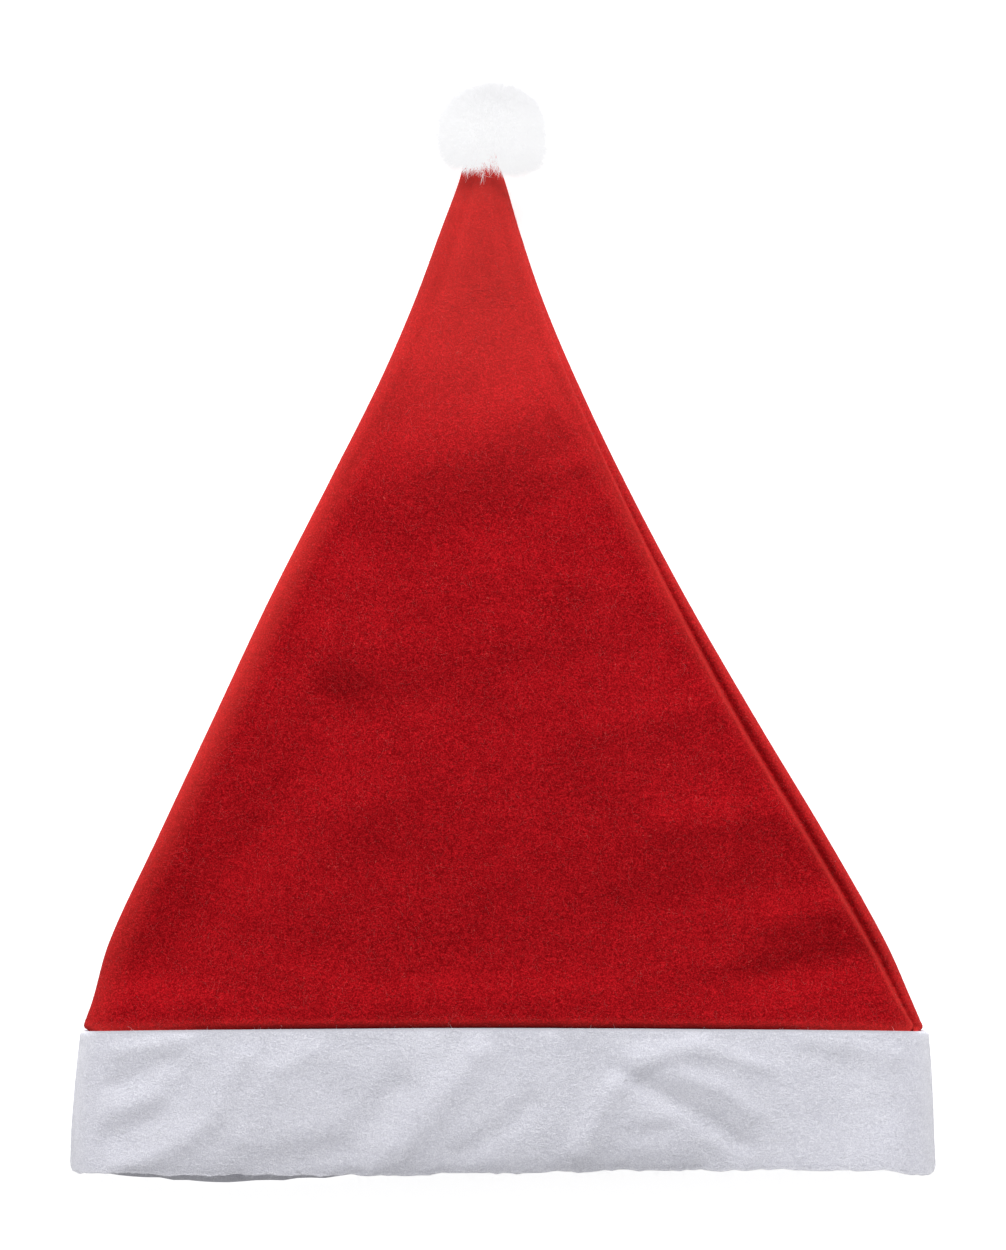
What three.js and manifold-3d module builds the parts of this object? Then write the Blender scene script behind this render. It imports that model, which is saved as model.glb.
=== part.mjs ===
// A felt party hat with a pompom, lying flat on its back: a cone of red felt folded on the left and sewn
// on the right, a white felt band sewn round its mouth, and a white pompom on its tip.
// Millimetres. +X runs along the band to the right, +Y from the mouth to the pompom, +Z up from the surface
// that the hat lies on. The origin is the middle of its footprint.
import * as THREE from "three";
import { mergeVertices } from "three/addons/utils/BufferGeometryUtils.js";
import Module from "manifold-3d";

// Driving dimensions
const MOUTH_WIDTH = 290; // flat width of the band at its raw lower edge, half of the 580 mm round the head
const BAND_HEIGHT = 48; // from the raw lower edge to the seam with the crown
const BAND_LOFT = 19; // height of the band where the hat lies, at the seam
const BAND_FELT = 1.2; // thickness of the white felt
const BAND_TURN = 7; // width of the band's upper edge that is turned in and sewn
const CROWN_HEIGHT = 293; // from the band's seam to the tied tip
const CROWN_LOFT = 16; // height of the crown where the hat lies, at its fullest
const CROWN_FELT = 1.2; // thickness of the red felt
const CROWN_TUCK = 9; // length of the crown's lower edge that is sewn inside the band
const SIDE_ALLOWANCE = 6.5; // width of the two plies inside the crown, beside its seam
const SEAM_SETBACK = 6; // how far the side seam lies in from the right fold, at most
const GROOVE_DEPTH = 1.1; // how far the side seam pulls the felt in
const GROOVE_WIDTH = 1.5; // half the breadth of the seam's groove
const FULL_SEAM_WIDTH = 30; // narrower than this, the hat's side seam grows fine with it
const FULL_SEAM_SETBACK = 4; // and so it does closer than this to the middle of the right fold
const PLY_RISE = 0.8; // how far the hidden plies push the front up beside the seam
const FOLD_RADIUS = 4; // outer radius of the crown's side folds
const SETTLE_LENGTH = 20; // length over which the crown comes down from the band to the surface
const PLY_EDGE = 1.2; // width over which the hidden plies start beside the seam
const PLY_END = 2; // width over which they thin out at their cut edge
const TIP_RISE_LENGTH = 66; // length over which the crown climbs to the pompom
const TIP_BELOW_CENTRE = 3.5; // how far the middle of the tip lies below the pompom's middle
const TIP_DEPTH = 8; // how far the tip goes into the pompom
const TIP_WALL = 6; // length of the tip that is tied shut
const POMPOM_WIDTH = 37;
const POMPOM_LENGTH = 31.5;
const POMPOM_HEIGHT = 32;
const POMPOM_PRESS = 1; // how much of the pompom's underside the surface presses flat
const POMPOM_ASIDE = 4; // how far the pompom's middle lies to the right of the tip's
const LOCK_RISE = 2.2; // how far the locks stand out of the pompom's head
const LOCK_RADIUS = 5.5;
const LOCK_COUNT = 36;
const SEAM_ARCH = 1.5; // how far the middle of the band's seam lies above its ends
const SEAM_ARCH_REACH = 73; // how far up the crown the arch of the seam fades out
const EDGE_WAVE = 1.05; // height of the wave in the front's lower edge
const BACK_SHORT = 1.4; // how much shorter the back of the band is than the front
const BACK_DIP = 4.1; // how far the back hangs out again on the left
const DENT_RISE = 1.6; // height of the strongest soft fold of the front
const DENT_SPREAD = 11; // distance from its ridge over which the broadest one dies away
const CLEARANCE = 0.3; // gap that touching pieces keep

// Colours
const RED_FELT = 0xb31a1f;
const WHITE_FELT = 0xe4e5ec;
const FLUFF = 0xf7f7fa;

// The band's outline and loft. along: from the lower edge, 0, to the seam, 1. left and right: shares of
// MOUTH_WIDTH from the middle of the mouth. loft: share of BAND_LOFT.
const BAND_SECTIONS = [
  { along: 0.0, left: -0.5, right: 0.5, loft: 0.84 },
  { along: 0.25, left: -0.4995, right: 0.4985, loft: 0.93 },
  { along: 0.65, left: -0.4945, right: 0.496, loft: 0.98 },
  { along: 1.0, left: -0.4885, right: 0.492, loft: 1.0 },
];

// The crown's outline above the seam. along: share of CROWN_HEIGHT. left and right: shares of MOUTH_WIDTH.
// loft: share of CROWN_LOFT. setback: share of SEAM_SETBACK. The first row follows from the band.
const CROWN_SECTIONS = [
  { along: 0.012, left: -0.4805, right: 0.4805, loft: 0.93, setback: 0.5 },
  { along: 0.033, left: -0.475, right: 0.473, loft: 1.0, setback: 0.66 },
  { along: 0.1, left: -0.4555, right: 0.4425, loft: 0.97, setback: 0.9 },
  { along: 0.216, left: -0.4005, right: 0.376, loft: 0.97, setback: 1.0 },
  { along: 0.352, left: -0.336, right: 0.2935, loft: 0.95, setback: 1.0 },
  { along: 0.489, left: -0.271, right: 0.2135, loft: 0.92, setback: 0.8 },
  { along: 0.626, left: -0.2005, right: 0.1405, loft: 0.88, setback: 0.66 },
  { along: 0.74, left: -0.1425, right: 0.0855, loft: 0.84, setback: 0.5 },
  { along: 0.831, left: -0.1025, right: 0.0467, loft: 0.8, setback: 0.4 },
  { along: 0.911, left: -0.072, right: 0.019, loft: 0.74, setback: 0.34 },
  { along: 0.965, left: -0.0515, right: 0.003, loft: 0.62, setback: 0.3 },
  { along: 1.0, left: -0.042, right: -0.009, loft: 0.44, setback: 0.24 },
];
const SEAM_START_SETBACK = 0.4; // share of SEAM_SETBACK at the band
const EDGE_RISE = 0.3; // share of the width over which the front climbs from a fold
const FOLD_OF_HEIGHT = 0.45; // a side fold's radius at most, as a share of the height
const FOLD_OF_WIDTH = 0.25; // and as a share of the width
const EDGE_WAVE_LENGTH = 1.08; // share of MOUTH_WIDTH
const BACK_DIP_AT = -0.3; // share of MOUTH_WIDTH
const BACK_DIP_SPREAD = 0.17; // share of MOUTH_WIDTH
const LOCK_SHARE = 0.35; // a lock's half length as a share of its reach from the pompom's middle
const LOCK_UNEVEN = 0.06; // how much shorter the shortest lock is, as a share of its reach
const LOCK_SWAY = 5; // how quickly the locks' reach changes from one to the next

// The soft folds of the front. fromX and toX: shares of MOUTH_WIDTH. fromY and toY: shares of the height
// of the piece that the fold lies on, counted from the seam. rise: share of DENT_RISE, below zero in a
// hollow. spread: share of DENT_SPREAD.
const CROWN_FOLDS = [
  { fromX: -0.43, fromY: 0.03, toX: 0.45, toY: 0.03, rise: 0.55, spread: 0.55 },
  { fromX: -0.39, fromY: 0.11, toX: -0.24, toY: 0.385, rise: -0.8, spread: 0.75 },
  { fromX: 0.27, fromY: 0.06, toX: 0.42, toY: 0.1, rise: -0.85, spread: 0.65 },
  { fromX: 0.1, fromY: 0.13, toX: 0.3, toY: 0.17, rise: -0.55, spread: 0.75 },
  { fromX: -0.36, fromY: 0.06, toX: -0.16, toY: 0.2, rise: 0.6, spread: 1 },
  { fromX: 0.13, fromY: 0.24, toX: 0.31, toY: 0.27, rise: 0.55, spread: 0.75 },
  { fromX: -0.2, fromY: 0.45, toX: 0.16, toY: 0.44, rise: 0.45, spread: 0.9 },
  { fromX: 0.04, fromY: 0.35, toX: 0.2, toY: 0.38, rise: 0.45, spread: 0.75 },
  { fromX: -0.13, fromY: 0.64, toX: 0.06, toY: 0.71, rise: 1, spread: 1 },
  { fromX: -0.1, fromY: 0.56, toX: 0.06, toY: 0.6, rise: -0.5, spread: 0.8 },
];
const BAND_FOLDS = [
  { fromX: -0.45, fromY: -0.97, toX: -0.28, toY: -0.12, rise: 0.7, spread: 0.55 },
  { fromX: -0.47, fromY: -0.74, toX: -0.36, toY: -0.26, rise: -0.55, spread: 0.5 },
  { fromX: -0.15, fromY: -0.98, toX: -0.04, toY: -0.15, rise: 0.6, spread: 0.65 },
  { fromX: -0.07, fromY: -0.84, toX: 0.01, toY: -0.57, rise: -0.45, spread: 0.55 },
  { fromX: 0.07, fromY: -0.94, toX: 0.16, toY: -0.15, rise: 0.75, spread: 0.55 },
  { fromX: 0.175, fromY: -0.32, toX: 0.25, toY: -0.67, rise: -0.85, spread: 0.6 },
  { fromX: 0.27, fromY: -0.94, toX: 0.445, toY: -0.43, rise: 0.75, spread: 0.65 },
  { fromX: 0.31, fromY: -0.18, toX: 0.455, toY: -0.32, rise: -0.5, spread: 0.55 },
];

// How finely the faceted walls follow their curves
const TOP_STEPS = 28;
const BOTTOM_STEPS = 8;
const ARC_STEPS = 3;
const ROUND_STEPS = 4;
const CROWN_ROWS = 21;
const SETTLE_ROWS = [0.15, 0.45, 0.72, 1]; // shares of SETTLE_LENGTH
const BAND_ROWS = [0, 0.15, 0.32, 0.5, 0.68]; // shares of BAND_HEIGHT, below the turned edge
// Distances from the middle of the side seam, shares of GROOVE_WIDTH
const GROOVE_STEPS = [-1.7, -0.8, -0.35, 0, 0.35, 0.8, 1.7, 3.3, 5.4];

// What follows from the driving dimensions
const SEAM_INSET = 2 * BAND_FELT + CLEARANCE; // from the band's outside to the crown tucked into it
const PLIES = 2 * CROWN_FELT; // thickness of the side seam's two plies
const TIP_THICKNESS = CROWN_LOFT * CROWN_SECTIONS[CROWN_SECTIONS.length - 1].loft;
const POMPOM_Y = CROWN_HEIGHT - TIP_DEPTH + POMPOM_LENGTH / 2;
const POMPOM_Z = (POMPOM_HEIGHT - POMPOM_PRESS) / 2;
const TIP_LIFT = POMPOM_Z - TIP_BELOW_CENTRE - TIP_THICKNESS / 2;

const clamp01 = (v) => Math.min(1, Math.max(0, v));
const smooth = (v) => clamp01(v) ** 2 * (3 - 2 * clamp01(v));
const mix = (a, b, share) => a + (b - a) * share;
const bell = (v) => Math.exp(-v * v);

// A smooth curve through one column of a table, at a place along it.
function read(rows, column, along) {
  let i = rows.findIndex((row) => row.along >= along);
  if (i < 0) i = rows.length - 1;
  i = Math.max(1, i);
  const slope = (k) => {
    const before = rows[Math.max(0, k - 1)];
    const after = rows[Math.min(rows.length - 1, k + 1)];
    return (after[column] - before[column]) / (after.along - before.along);
  };
  const [a, b] = [rows[i - 1], rows[i]];
  const step = b.along - a.along;
  const s = clamp01((along - a.along) / step);
  const ease = smooth(s);
  return (
    a[column] * (1 - ease) +
    b[column] * ease +
    step * (slope(i - 1) * s * (1 - s) ** 2 - slope(i) * s * s * (1 - s))
  );
}

// A section is the outside of the lying felt across the hat: left and right ends, lift above the surface,
// height, radius of its side folds, and how far in from the right the side seam runs.
function bandSection(y) {
  const along = 1 + y / BAND_HEIGHT;
  const height = BAND_LOFT * read(BAND_SECTIONS, "loft", along);
  return {
    y,
    left: MOUTH_WIDTH * read(BAND_SECTIONS, "left", along),
    right: MOUTH_WIDTH * read(BAND_SECTIONS, "right", along),
    lift: 0,
    height,
    fold: FOLD_RADIUS + SEAM_INSET,
    seam: SEAM_START_SETBACK * SEAM_SETBACK + SEAM_INSET,
  };
}

function crownRows() {
  const band = bandSection(0);
  const start = {
    along: 0,
    left: (band.left + SEAM_INSET) / MOUTH_WIDTH,
    right: (band.right - SEAM_INSET) / MOUTH_WIDTH,
    loft: (band.height - 2 * SEAM_INSET) / CROWN_LOFT,
    setback: SEAM_START_SETBACK,
  };
  return [start, ...CROWN_SECTIONS];
}
const CROWN_OUTLINE = crownRows();

function crownSection(y) {
  const along = y / CROWN_HEIGHT;
  const left = MOUTH_WIDTH * read(CROWN_OUTLINE, "left", along);
  const right = MOUTH_WIDTH * read(CROWN_OUTLINE, "right", along);
  const height = CROWN_LOFT * read(CROWN_OUTLINE, "loft", along);
  const settle = SEAM_INSET * (1 - smooth(y / SETTLE_LENGTH));
  const climb = TIP_LIFT * smooth(1 - (CROWN_HEIGHT - y) / TIP_RISE_LENGTH);
  return {
    y,
    left,
    right,
    lift: settle + climb,
    height,
    fold: Math.min(FOLD_RADIUS, FOLD_OF_HEIGHT * height, FOLD_OF_WIDTH * (right - left)),
    seam: SEAM_SETBACK * read(CROWN_OUTLINE, "setback", along),
  };
}

// Height that the folds add to the front.
function relief(x, y) {
  const sum = (folds, height) =>
    folds.reduce((total, fold) => {
      const [ax, ay] = [fold.fromX * MOUTH_WIDTH, fold.fromY * height];
      const [dx, dy] = [fold.toX * MOUTH_WIDTH - ax, fold.toY * height - ay];
      const share = clamp01(((x - ax) * dx + (y - ay) * dy) / (dx * dx + dy * dy));
      const away = Math.hypot(x - ax - share * dx, y - ay - share * dy);
      return total + DENT_RISE * fold.rise * bell(away / (DENT_SPREAD * fold.spread));
    }, 0);
  return sum(CROWN_FOLDS, CROWN_HEIGHT) + sum(BAND_FOLDS, BAND_HEIGHT);
}

// How far the lower edge and the seam wander from straight lines, at a place across the hat.
const seamLine = (x) => SEAM_ARCH * Math.cos((Math.PI * x) / MOUTH_WIDTH);
const frontEdge = (x) => EDGE_WAVE * Math.sin((2 * Math.PI * x) / (EDGE_WAVE_LENGTH * MOUTH_WIDTH));
const backEdge = (x) => {
  const fromDip = x / MOUTH_WIDTH - BACK_DIP_AT;
  return BACK_SHORT - BACK_DIP * bell(fromDip / BACK_DIP_SPREAD);
};

// Distances round a section's outside: over the top from the right end to the left one, then back underneath.
function places(section) {
  const { left, right, fold, seam } = section;
  const arc = (fold * Math.PI) / 2;
  const over = 2 * arc + right - left - 2 * fold;
  const groove = seam < fold ? fold * Math.acos(1 - seam / fold) : arc + seam - fold;
  const narrow = Math.min(1, groove / FULL_SEAM_SETBACK, (right - left) / FULL_SEAM_WIDTH);
  const near = GROOVE_STEPS.map((share) => groove + share * GROOVE_WIDTH * narrow);
  const top = [0, near[0] / 2, ...near];
  const last = top[top.length - 1];
  for (let i = 1; i <= TOP_STEPS; i++) top.push(mix(last, over - arc, i / TOP_STEPS));
  for (let i = 1; i <= ARC_STEPS; i++) top.push(over - arc + (arc * i) / ARC_STEPS);
  const under = [];
  for (let i = 1; i <= ARC_STEPS; i++) under.push((arc * i) / ARC_STEPS);
  for (let i = 1; i <= BOTTOM_STEPS; i++) under.push(mix(arc, over - arc, i / BOTTOM_STEPS));
  for (let i = 1; i < ARC_STEPS; i++) under.push(over - arc + (arc * i) / ARC_STEPS);
  return { top, under, arc, over, groove, narrow };
}

// The point of a section at a distance along its top or its underside, set in from the outside.
function onSection(section, distance, isTop, inset, arc, over) {
  const { left, right, lift, height, fold } = section;
  const up = isTop ? 1 : -1;
  const radius = fold - inset;
  const turn = (centre, angle, toRight) => ({
    x: centre + toRight * radius * Math.cos(angle),
    z: lift + fold + up * radius * Math.sin(angle),
    weight: 0,
  });
  if (distance < arc) return turn(right - fold, distance / fold, 1);
  if (distance > over - arc) return turn(left + fold, (over - distance) / fold, -1);
  const share = (distance - arc) / (over - 2 * arc);
  const full = smooth(Math.min(share, 1 - share) / EDGE_RISE);
  return {
    x: mix(right - fold, left + fold, share),
    z: isTop ? lift + 2 * fold + (height - 2 * fold) * full - inset : lift + inset,
    weight: isTop ? full : 0,
  };
}

// One closed ring of points round the hat. setIn gives the inset for a signed distance from the side seam,
// and wander moves a point along the hat.
function ring(section, setIn, wander) {
  const { top, under, arc, over, groove, narrow } = places(section);
  const points = [];
  const add = (distance, isTop) => {
    const fromSeam = isTop ? (distance - groove) / narrow : Infinity;
    const inset = setIn(fromSeam, narrow);
    const measured = isTop ? distance : over - distance;
    const outside = onSection(section, measured, isTop, 0, arc, over);
    const point = onSection(section, measured, isTop, inset, arc, over);
    const fill = clamp01((outside.z - section.lift) / section.height);
    point.z += outside.weight * relief(outside.x, section.y);
    points.push(new THREE.Vector3(point.x, section.y + wander(outside.x, fill), point.z));
  };
  top.forEach((distance) => add(distance, true));
  under.forEach((distance) => add(distance, false));
  return points;
}

// Joins rings that follow each other into one closed surface. A cap closes the first and last ring with a
// fan; otherwise the last ring is joined to the first. Facets on both faces of the felt are split along the
// same diagonal, so that its thickness stays even.
function skin(rings, capped) {
  const count = rings[0].length;
  const vertices = rings.flat();
  const faces = [];
  const joined = capped ? rings.length - 1 : rings.length;
  for (let j = 0; j < joined; j++) {
    const next = (j + 1) % rings.length;
    const [a, b] = [j * count, next * count];
    const climbs = rings[next][0].y > rings[j][0].y;
    for (let i = 0; i < count; i++) {
      const k = (i + 1) % count;
      const [p, q] = climbs ? [a + k, b + i] : [b + k, a + i];
      faces.push(a + i, b + i, p, q, b + k, a + k);
    }
  }
  if (capped) {
    [0, rings.length - 1].forEach((j) => {
      const centre = new THREE.Vector3();
      rings[j].forEach((p) => centre.add(p));
      vertices.push(centre.divideScalar(count));
      for (let i = 0; i < count; i++) {
        const [a, b] = [j * count + i, j * count + ((i + 1) % count)];
        faces.push(...(j === 0 ? [vertices.length - 1, a, b] : [vertices.length - 1, b, a]));
      }
    });
  }
  const geometry = new THREE.BufferGeometry();
  geometry.setAttribute(
    "position",
    new THREE.Float32BufferAttribute(vertices.flatMap((p) => [p.x, p.y, p.z]), 3)
  );
  geometry.setIndex(faces);
  geometry.computeVertexNormals();
  return geometry;
}

const seamWander = (y) => (x) => seamLine(x) * clamp01(1 - y / SEAM_ARCH_REACH);
const bandWander = (y) => (x, fill) => {
  const along = clamp01(1 + y / BAND_HEIGHT);
  const edge = mix(backEdge(x), frontEdge(x), smooth(fill));
  return mix(edge, seamLine(x), along);
};

// The crown's outside and inside for one place along the hat.
function crownRing(y, inside) {
  const section = y > 0 ? crownSection(y) : bandSection(y);
  const base = y > 0 ? 0 : SEAM_INSET;
  const free = smooth(y / SETTLE_LENGTH);
  const setIn = (fromSeam, narrow) => {
    const besideSeam = smooth(fromSeam / PLY_EDGE) * (1 - smooth((fromSeam - SIDE_ALLOWANCE) / PLY_END));
    const groove = GROOVE_DEPTH * bell(fromSeam / GROOVE_WIDTH);
    const outer = base + narrow * (groove - free * PLY_RISE * besideSeam);
    return inside ? outer + CROWN_FELT + narrow * PLIES * besideSeam : outer;
  };
  return ring(section, setIn, y > 0 ? seamWander(y) : bandWander(y));
}

function crownPlaces() {
  const tuck = [-CROWN_TUCK, -BAND_TURN, -BAND_FELT, 0];
  const settle = SETTLE_ROWS.map((share) => share * SETTLE_LENGTH);
  const straight = [];
  for (let i = 1; i <= CROWN_ROWS; i++) {
    straight.push(mix(SETTLE_LENGTH, CROWN_HEIGHT - TIP_WALL, i / CROWN_ROWS));
  }
  return [...tuck, ...settle, ...straight];
}

const tipPlaces = () => [CROWN_HEIGHT - TIP_WALL / 2, CROWN_HEIGHT];

function crownGeometry() {
  const hollow = crownPlaces();
  const outside = [...hollow, ...tipPlaces()].map((y) => crownRing(y, false));
  const inside = hollow.reverse().map((y) => crownRing(y, true));
  return skin([...inside, ...outside], true);
}

// The band's wall as a loop of places along it and insets: up its outside, over the rounded top, down the
// turned edge to its end, and down the inside of the single ply.
function bandGeometry() {
  const single = BAND_ROWS.map((along) => (along - 1) * BAND_HEIGHT);
  const outside = [...single, -BAND_TURN].map((y) => [y, 0]);
  const roundTop = [];
  for (let i = 0; i <= ROUND_STEPS; i++) {
    const angle = (Math.PI * i) / ROUND_STEPS;
    roundTop.push([BAND_FELT * (Math.sin(angle) - 1), BAND_FELT * (1 - Math.cos(angle))]);
  }
  const turned = [
    [-BAND_TURN, 2 * BAND_FELT],
    [-BAND_TURN, BAND_FELT],
  ];
  const inside = single.reverse().map((y) => [y, BAND_FELT]);
  const loop = [...outside, ...roundTop, ...turned, ...inside];
  return skin(
    loop.map(([y, inset]) => ring(bandSection(y), () => inset, bandWander(y))),
    false
  );
}

const wasm = await Module();
wasm.setup();

function solidOf(geometry) {
  const bare = geometry.index ? geometry.toNonIndexed() : geometry.clone();
  bare.deleteAttribute("normal");
  bare.deleteAttribute("uv");
  const merged = mergeVertices(bare, 1e-4);
  return new wasm.Manifold(
    new wasm.Mesh({
      numProp: 3,
      vertProperties: new Float32Array(merged.attributes.position.array),
      triVerts: new Uint32Array(merged.index.array),
    })
  );
}

function geometryOf(solid) {
  const { numProp, vertProperties, triVerts } = solid.getMesh();
  const geometry = new THREE.BufferGeometry();
  const count = vertProperties.length / numProp;
  const position = new Float32Array(3 * count);
  for (let i = 0; i < count; i++) {
    position.set(vertProperties.subarray(i * numProp, i * numProp + 3), 3 * i);
  }
  geometry.setAttribute("position", new THREE.BufferAttribute(position, 3));
  geometry.setIndex(new THREE.BufferAttribute(new Uint32Array(triVerts), 1));
  geometry.computeVertexNormals();
  return geometry;
}

// A lock of the pompom: a rounded tuft from inside the head to its outside.
function lockGeometry(direction, reach) {
  const tuft = new THREE.IcosahedronGeometry(1, 1);
  tuft.scale(LOCK_RADIUS, LOCK_SHARE * reach, LOCK_RADIUS);
  tuft.translate(0, (1 - LOCK_SHARE) * reach, 0);
  tuft.applyQuaternion(
    new THREE.Quaternion().setFromUnitVectors(new THREE.Vector3(0, 1, 0), direction)
  );
  return tuft;
}

// A solid round the crown's tip, larger than it by the clearance, that keeps the pompom off it.
function tipRoom() {
  const start = CROWN_HEIGHT - TIP_DEPTH - POMPOM_LENGTH / 2;
  const rows = [...crownPlaces(), ...tipPlaces()].filter((y) => y > start);
  const room = rows.map((y) => ring(crownSection(y), () => -PLY_RISE - CLEARANCE, () => 0));
  room.push(room[room.length - 1].map((p) => p.clone().setY(CROWN_HEIGHT + CLEARANCE)));
  return solidOf(skin(room, true));
}

// The locks point away from the middle in a golden spiral, and the surface presses the lowest of them flat.
function pompomGeometry() {
  const half = new THREE.Vector3(POMPOM_WIDTH, POMPOM_LENGTH, POMPOM_HEIGHT + POMPOM_PRESS);
  half.divideScalar(2);
  const tip = crownSection(CROWN_HEIGHT);
  const middle = new THREE.Vector3((tip.left + tip.right) / 2 + POMPOM_ASIDE, POMPOM_Y, POMPOM_Z);
  const head = new THREE.IcosahedronGeometry(1, 2);
  head.scale(half.x - LOCK_RISE, half.y - LOCK_RISE, half.z - LOCK_RISE);
  let solid = solidOf(head);
  const golden = Math.PI * (3 - Math.sqrt(5));
  for (let i = 0; i < LOCK_COUNT; i++) {
    const up = 1 - (2 * i + 1) / LOCK_COUNT;
    const across = Math.sqrt(1 - up * up);
    const turn = golden * i;
    const direction = new THREE.Vector3(across * Math.cos(turn), across * Math.sin(turn), up);
    const onHead = direction.multiply(half);
    const reach = onHead.length() * (1 - LOCK_UNEVEN * Math.sin(LOCK_SWAY * turn) ** 2);
    solid = solid.add(solidOf(lockGeometry(onHead.normalize(), reach)));
  }
  const above = new THREE.BoxGeometry(2 * POMPOM_WIDTH, 2 * POMPOM_LENGTH, 2 * POMPOM_HEIGHT);
  above.translate(0, 0, POMPOM_HEIGHT - POMPOM_Z);
  solid = solid.intersect(solidOf(above));
  return geometryOf(solid.translate(middle.toArray()).subtract(tipRoom()));
}

function piece(name, geometry, color, roughness) {
  const mesh = new THREE.Mesh(
    geometry,
    new THREE.MeshStandardMaterial({ color, roughness, metalness: 0 })
  );
  mesh.name = name;
  return mesh;
}

const hat = new THREE.Group();
hat.add(
  piece("crown", crownGeometry(), RED_FELT, 0.95),
  piece("band", bandGeometry(), WHITE_FELT, 0.95),
  piece("pompom", pompomGeometry(), FLUFF, 1)
);

// The origin goes to the middle of the footprint, on the surface that the hat lies on.
const bounds = new THREE.Box3().setFromObject(hat);
const centre = bounds.getCenter(new THREE.Vector3());
hat.position.set(-centre.x, -centre.y, -bounds.min.z);

export default hat;
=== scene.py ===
import math
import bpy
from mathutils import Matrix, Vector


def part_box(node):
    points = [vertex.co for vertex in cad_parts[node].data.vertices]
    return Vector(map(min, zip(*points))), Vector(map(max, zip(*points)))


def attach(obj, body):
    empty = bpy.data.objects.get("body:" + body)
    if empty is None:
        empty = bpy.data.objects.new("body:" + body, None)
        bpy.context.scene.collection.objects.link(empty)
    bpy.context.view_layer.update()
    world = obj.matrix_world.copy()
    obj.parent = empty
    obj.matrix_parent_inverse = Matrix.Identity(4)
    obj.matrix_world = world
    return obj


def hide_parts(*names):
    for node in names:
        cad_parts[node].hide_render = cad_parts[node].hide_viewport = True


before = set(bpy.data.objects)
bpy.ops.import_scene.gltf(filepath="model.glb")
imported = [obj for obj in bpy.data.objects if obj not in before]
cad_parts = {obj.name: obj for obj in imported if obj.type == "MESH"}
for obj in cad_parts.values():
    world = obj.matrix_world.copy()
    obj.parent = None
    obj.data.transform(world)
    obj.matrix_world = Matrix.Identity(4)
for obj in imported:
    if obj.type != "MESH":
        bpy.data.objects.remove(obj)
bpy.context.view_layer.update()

from types import SimpleNamespace

import bpy
import numpy as np
from mathutils import Euler, Vector

bl_info = {
    "name": "Felt Party Hat",
    "version": (1, 0, 0),
    "blender": (4, 5, 0),
    "location": "View3D > Sidebar > Felt Hat",
    "description": "Builds a red felt party hat with a white band and pompom that lies flat on its back",
    "category": "Object",
}

# The hat lies on its back. +X runs along the band to the right, +Y from the mouth to the pompom, +Z up.
# Along the hat, places are counted from the seam between the band and the crown. Lengths are in metres.
MM = 0.001
BAND_LOW, BAND_HIGH = (np.array(corner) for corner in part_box("band"))
CROWN_LOW, CROWN_HIGH = (np.array(corner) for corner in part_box("crown"))
POMPOM_LOW, POMPOM_HIGH = (np.array(corner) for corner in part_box("pompom"))

CLEARANCE = 0.3 * MM
SEAM_ARCH = 1.5 * MM
SEAM_Y = BAND_HIGH[1] - SEAM_ARCH
CROWN_HEIGHT = CROWN_HIGH[1] - SEAM_Y


def outline(along, left, right, loft, setback=0.0):
    return {"along": along, "left": left, "right": right, "loft": loft, "setback": setback}


def fold(rise, spread, *path):
    return SimpleNamespace(rise=rise, spread=spread, path=path)


# The band's outline from the lower edge, 0, to the seam, 1. left and right: shares of the mouth's width
# from its middle. loft: share of the band's loft.
BAND_SECTIONS = [
    outline(0.0, -0.5, 0.5, 0.84),
    outline(0.25, -0.4995, 0.4985, 0.93),
    outline(0.65, -0.4945, 0.496, 0.98),
    outline(1.0, -0.4885, 0.492, 1.0),
]

# The crown's outline above the seam, along its height. left and right: shares of the mouth's width.
# loft: share of the crown's loft. setback: share of the side seam's largest setback.
CROWN_SECTIONS = [
    outline(0.004, -0.4845, 0.4855, 0.97, 0.45),
    outline(0.012, -0.4825, 0.482, 0.985, 0.5),
    outline(0.033, -0.475, 0.473, 1.0, 0.66),
    outline(0.1, -0.4555, 0.4425, 0.97, 0.9),
    outline(0.216, -0.4005, 0.376, 0.97, 1.0),
    outline(0.352, -0.336, 0.2935, 0.95, 1.0),
    outline(0.489, -0.271, 0.2135, 0.92, 0.74),
    outline(0.626, -0.2005, 0.1405, 0.88, 0.52),
    outline(0.74, -0.1425, 0.0855, 0.84, 0.4),
    outline(0.831, -0.1025, 0.0467, 0.8, 0.25),
    outline(0.911, -0.072, 0.019, 0.74, 0.18),
    outline(0.965, -0.0515, 0.003, 0.62, 0.15),
    outline(1.0, -0.042, -0.009, 0.44, 0.15),
]

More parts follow.
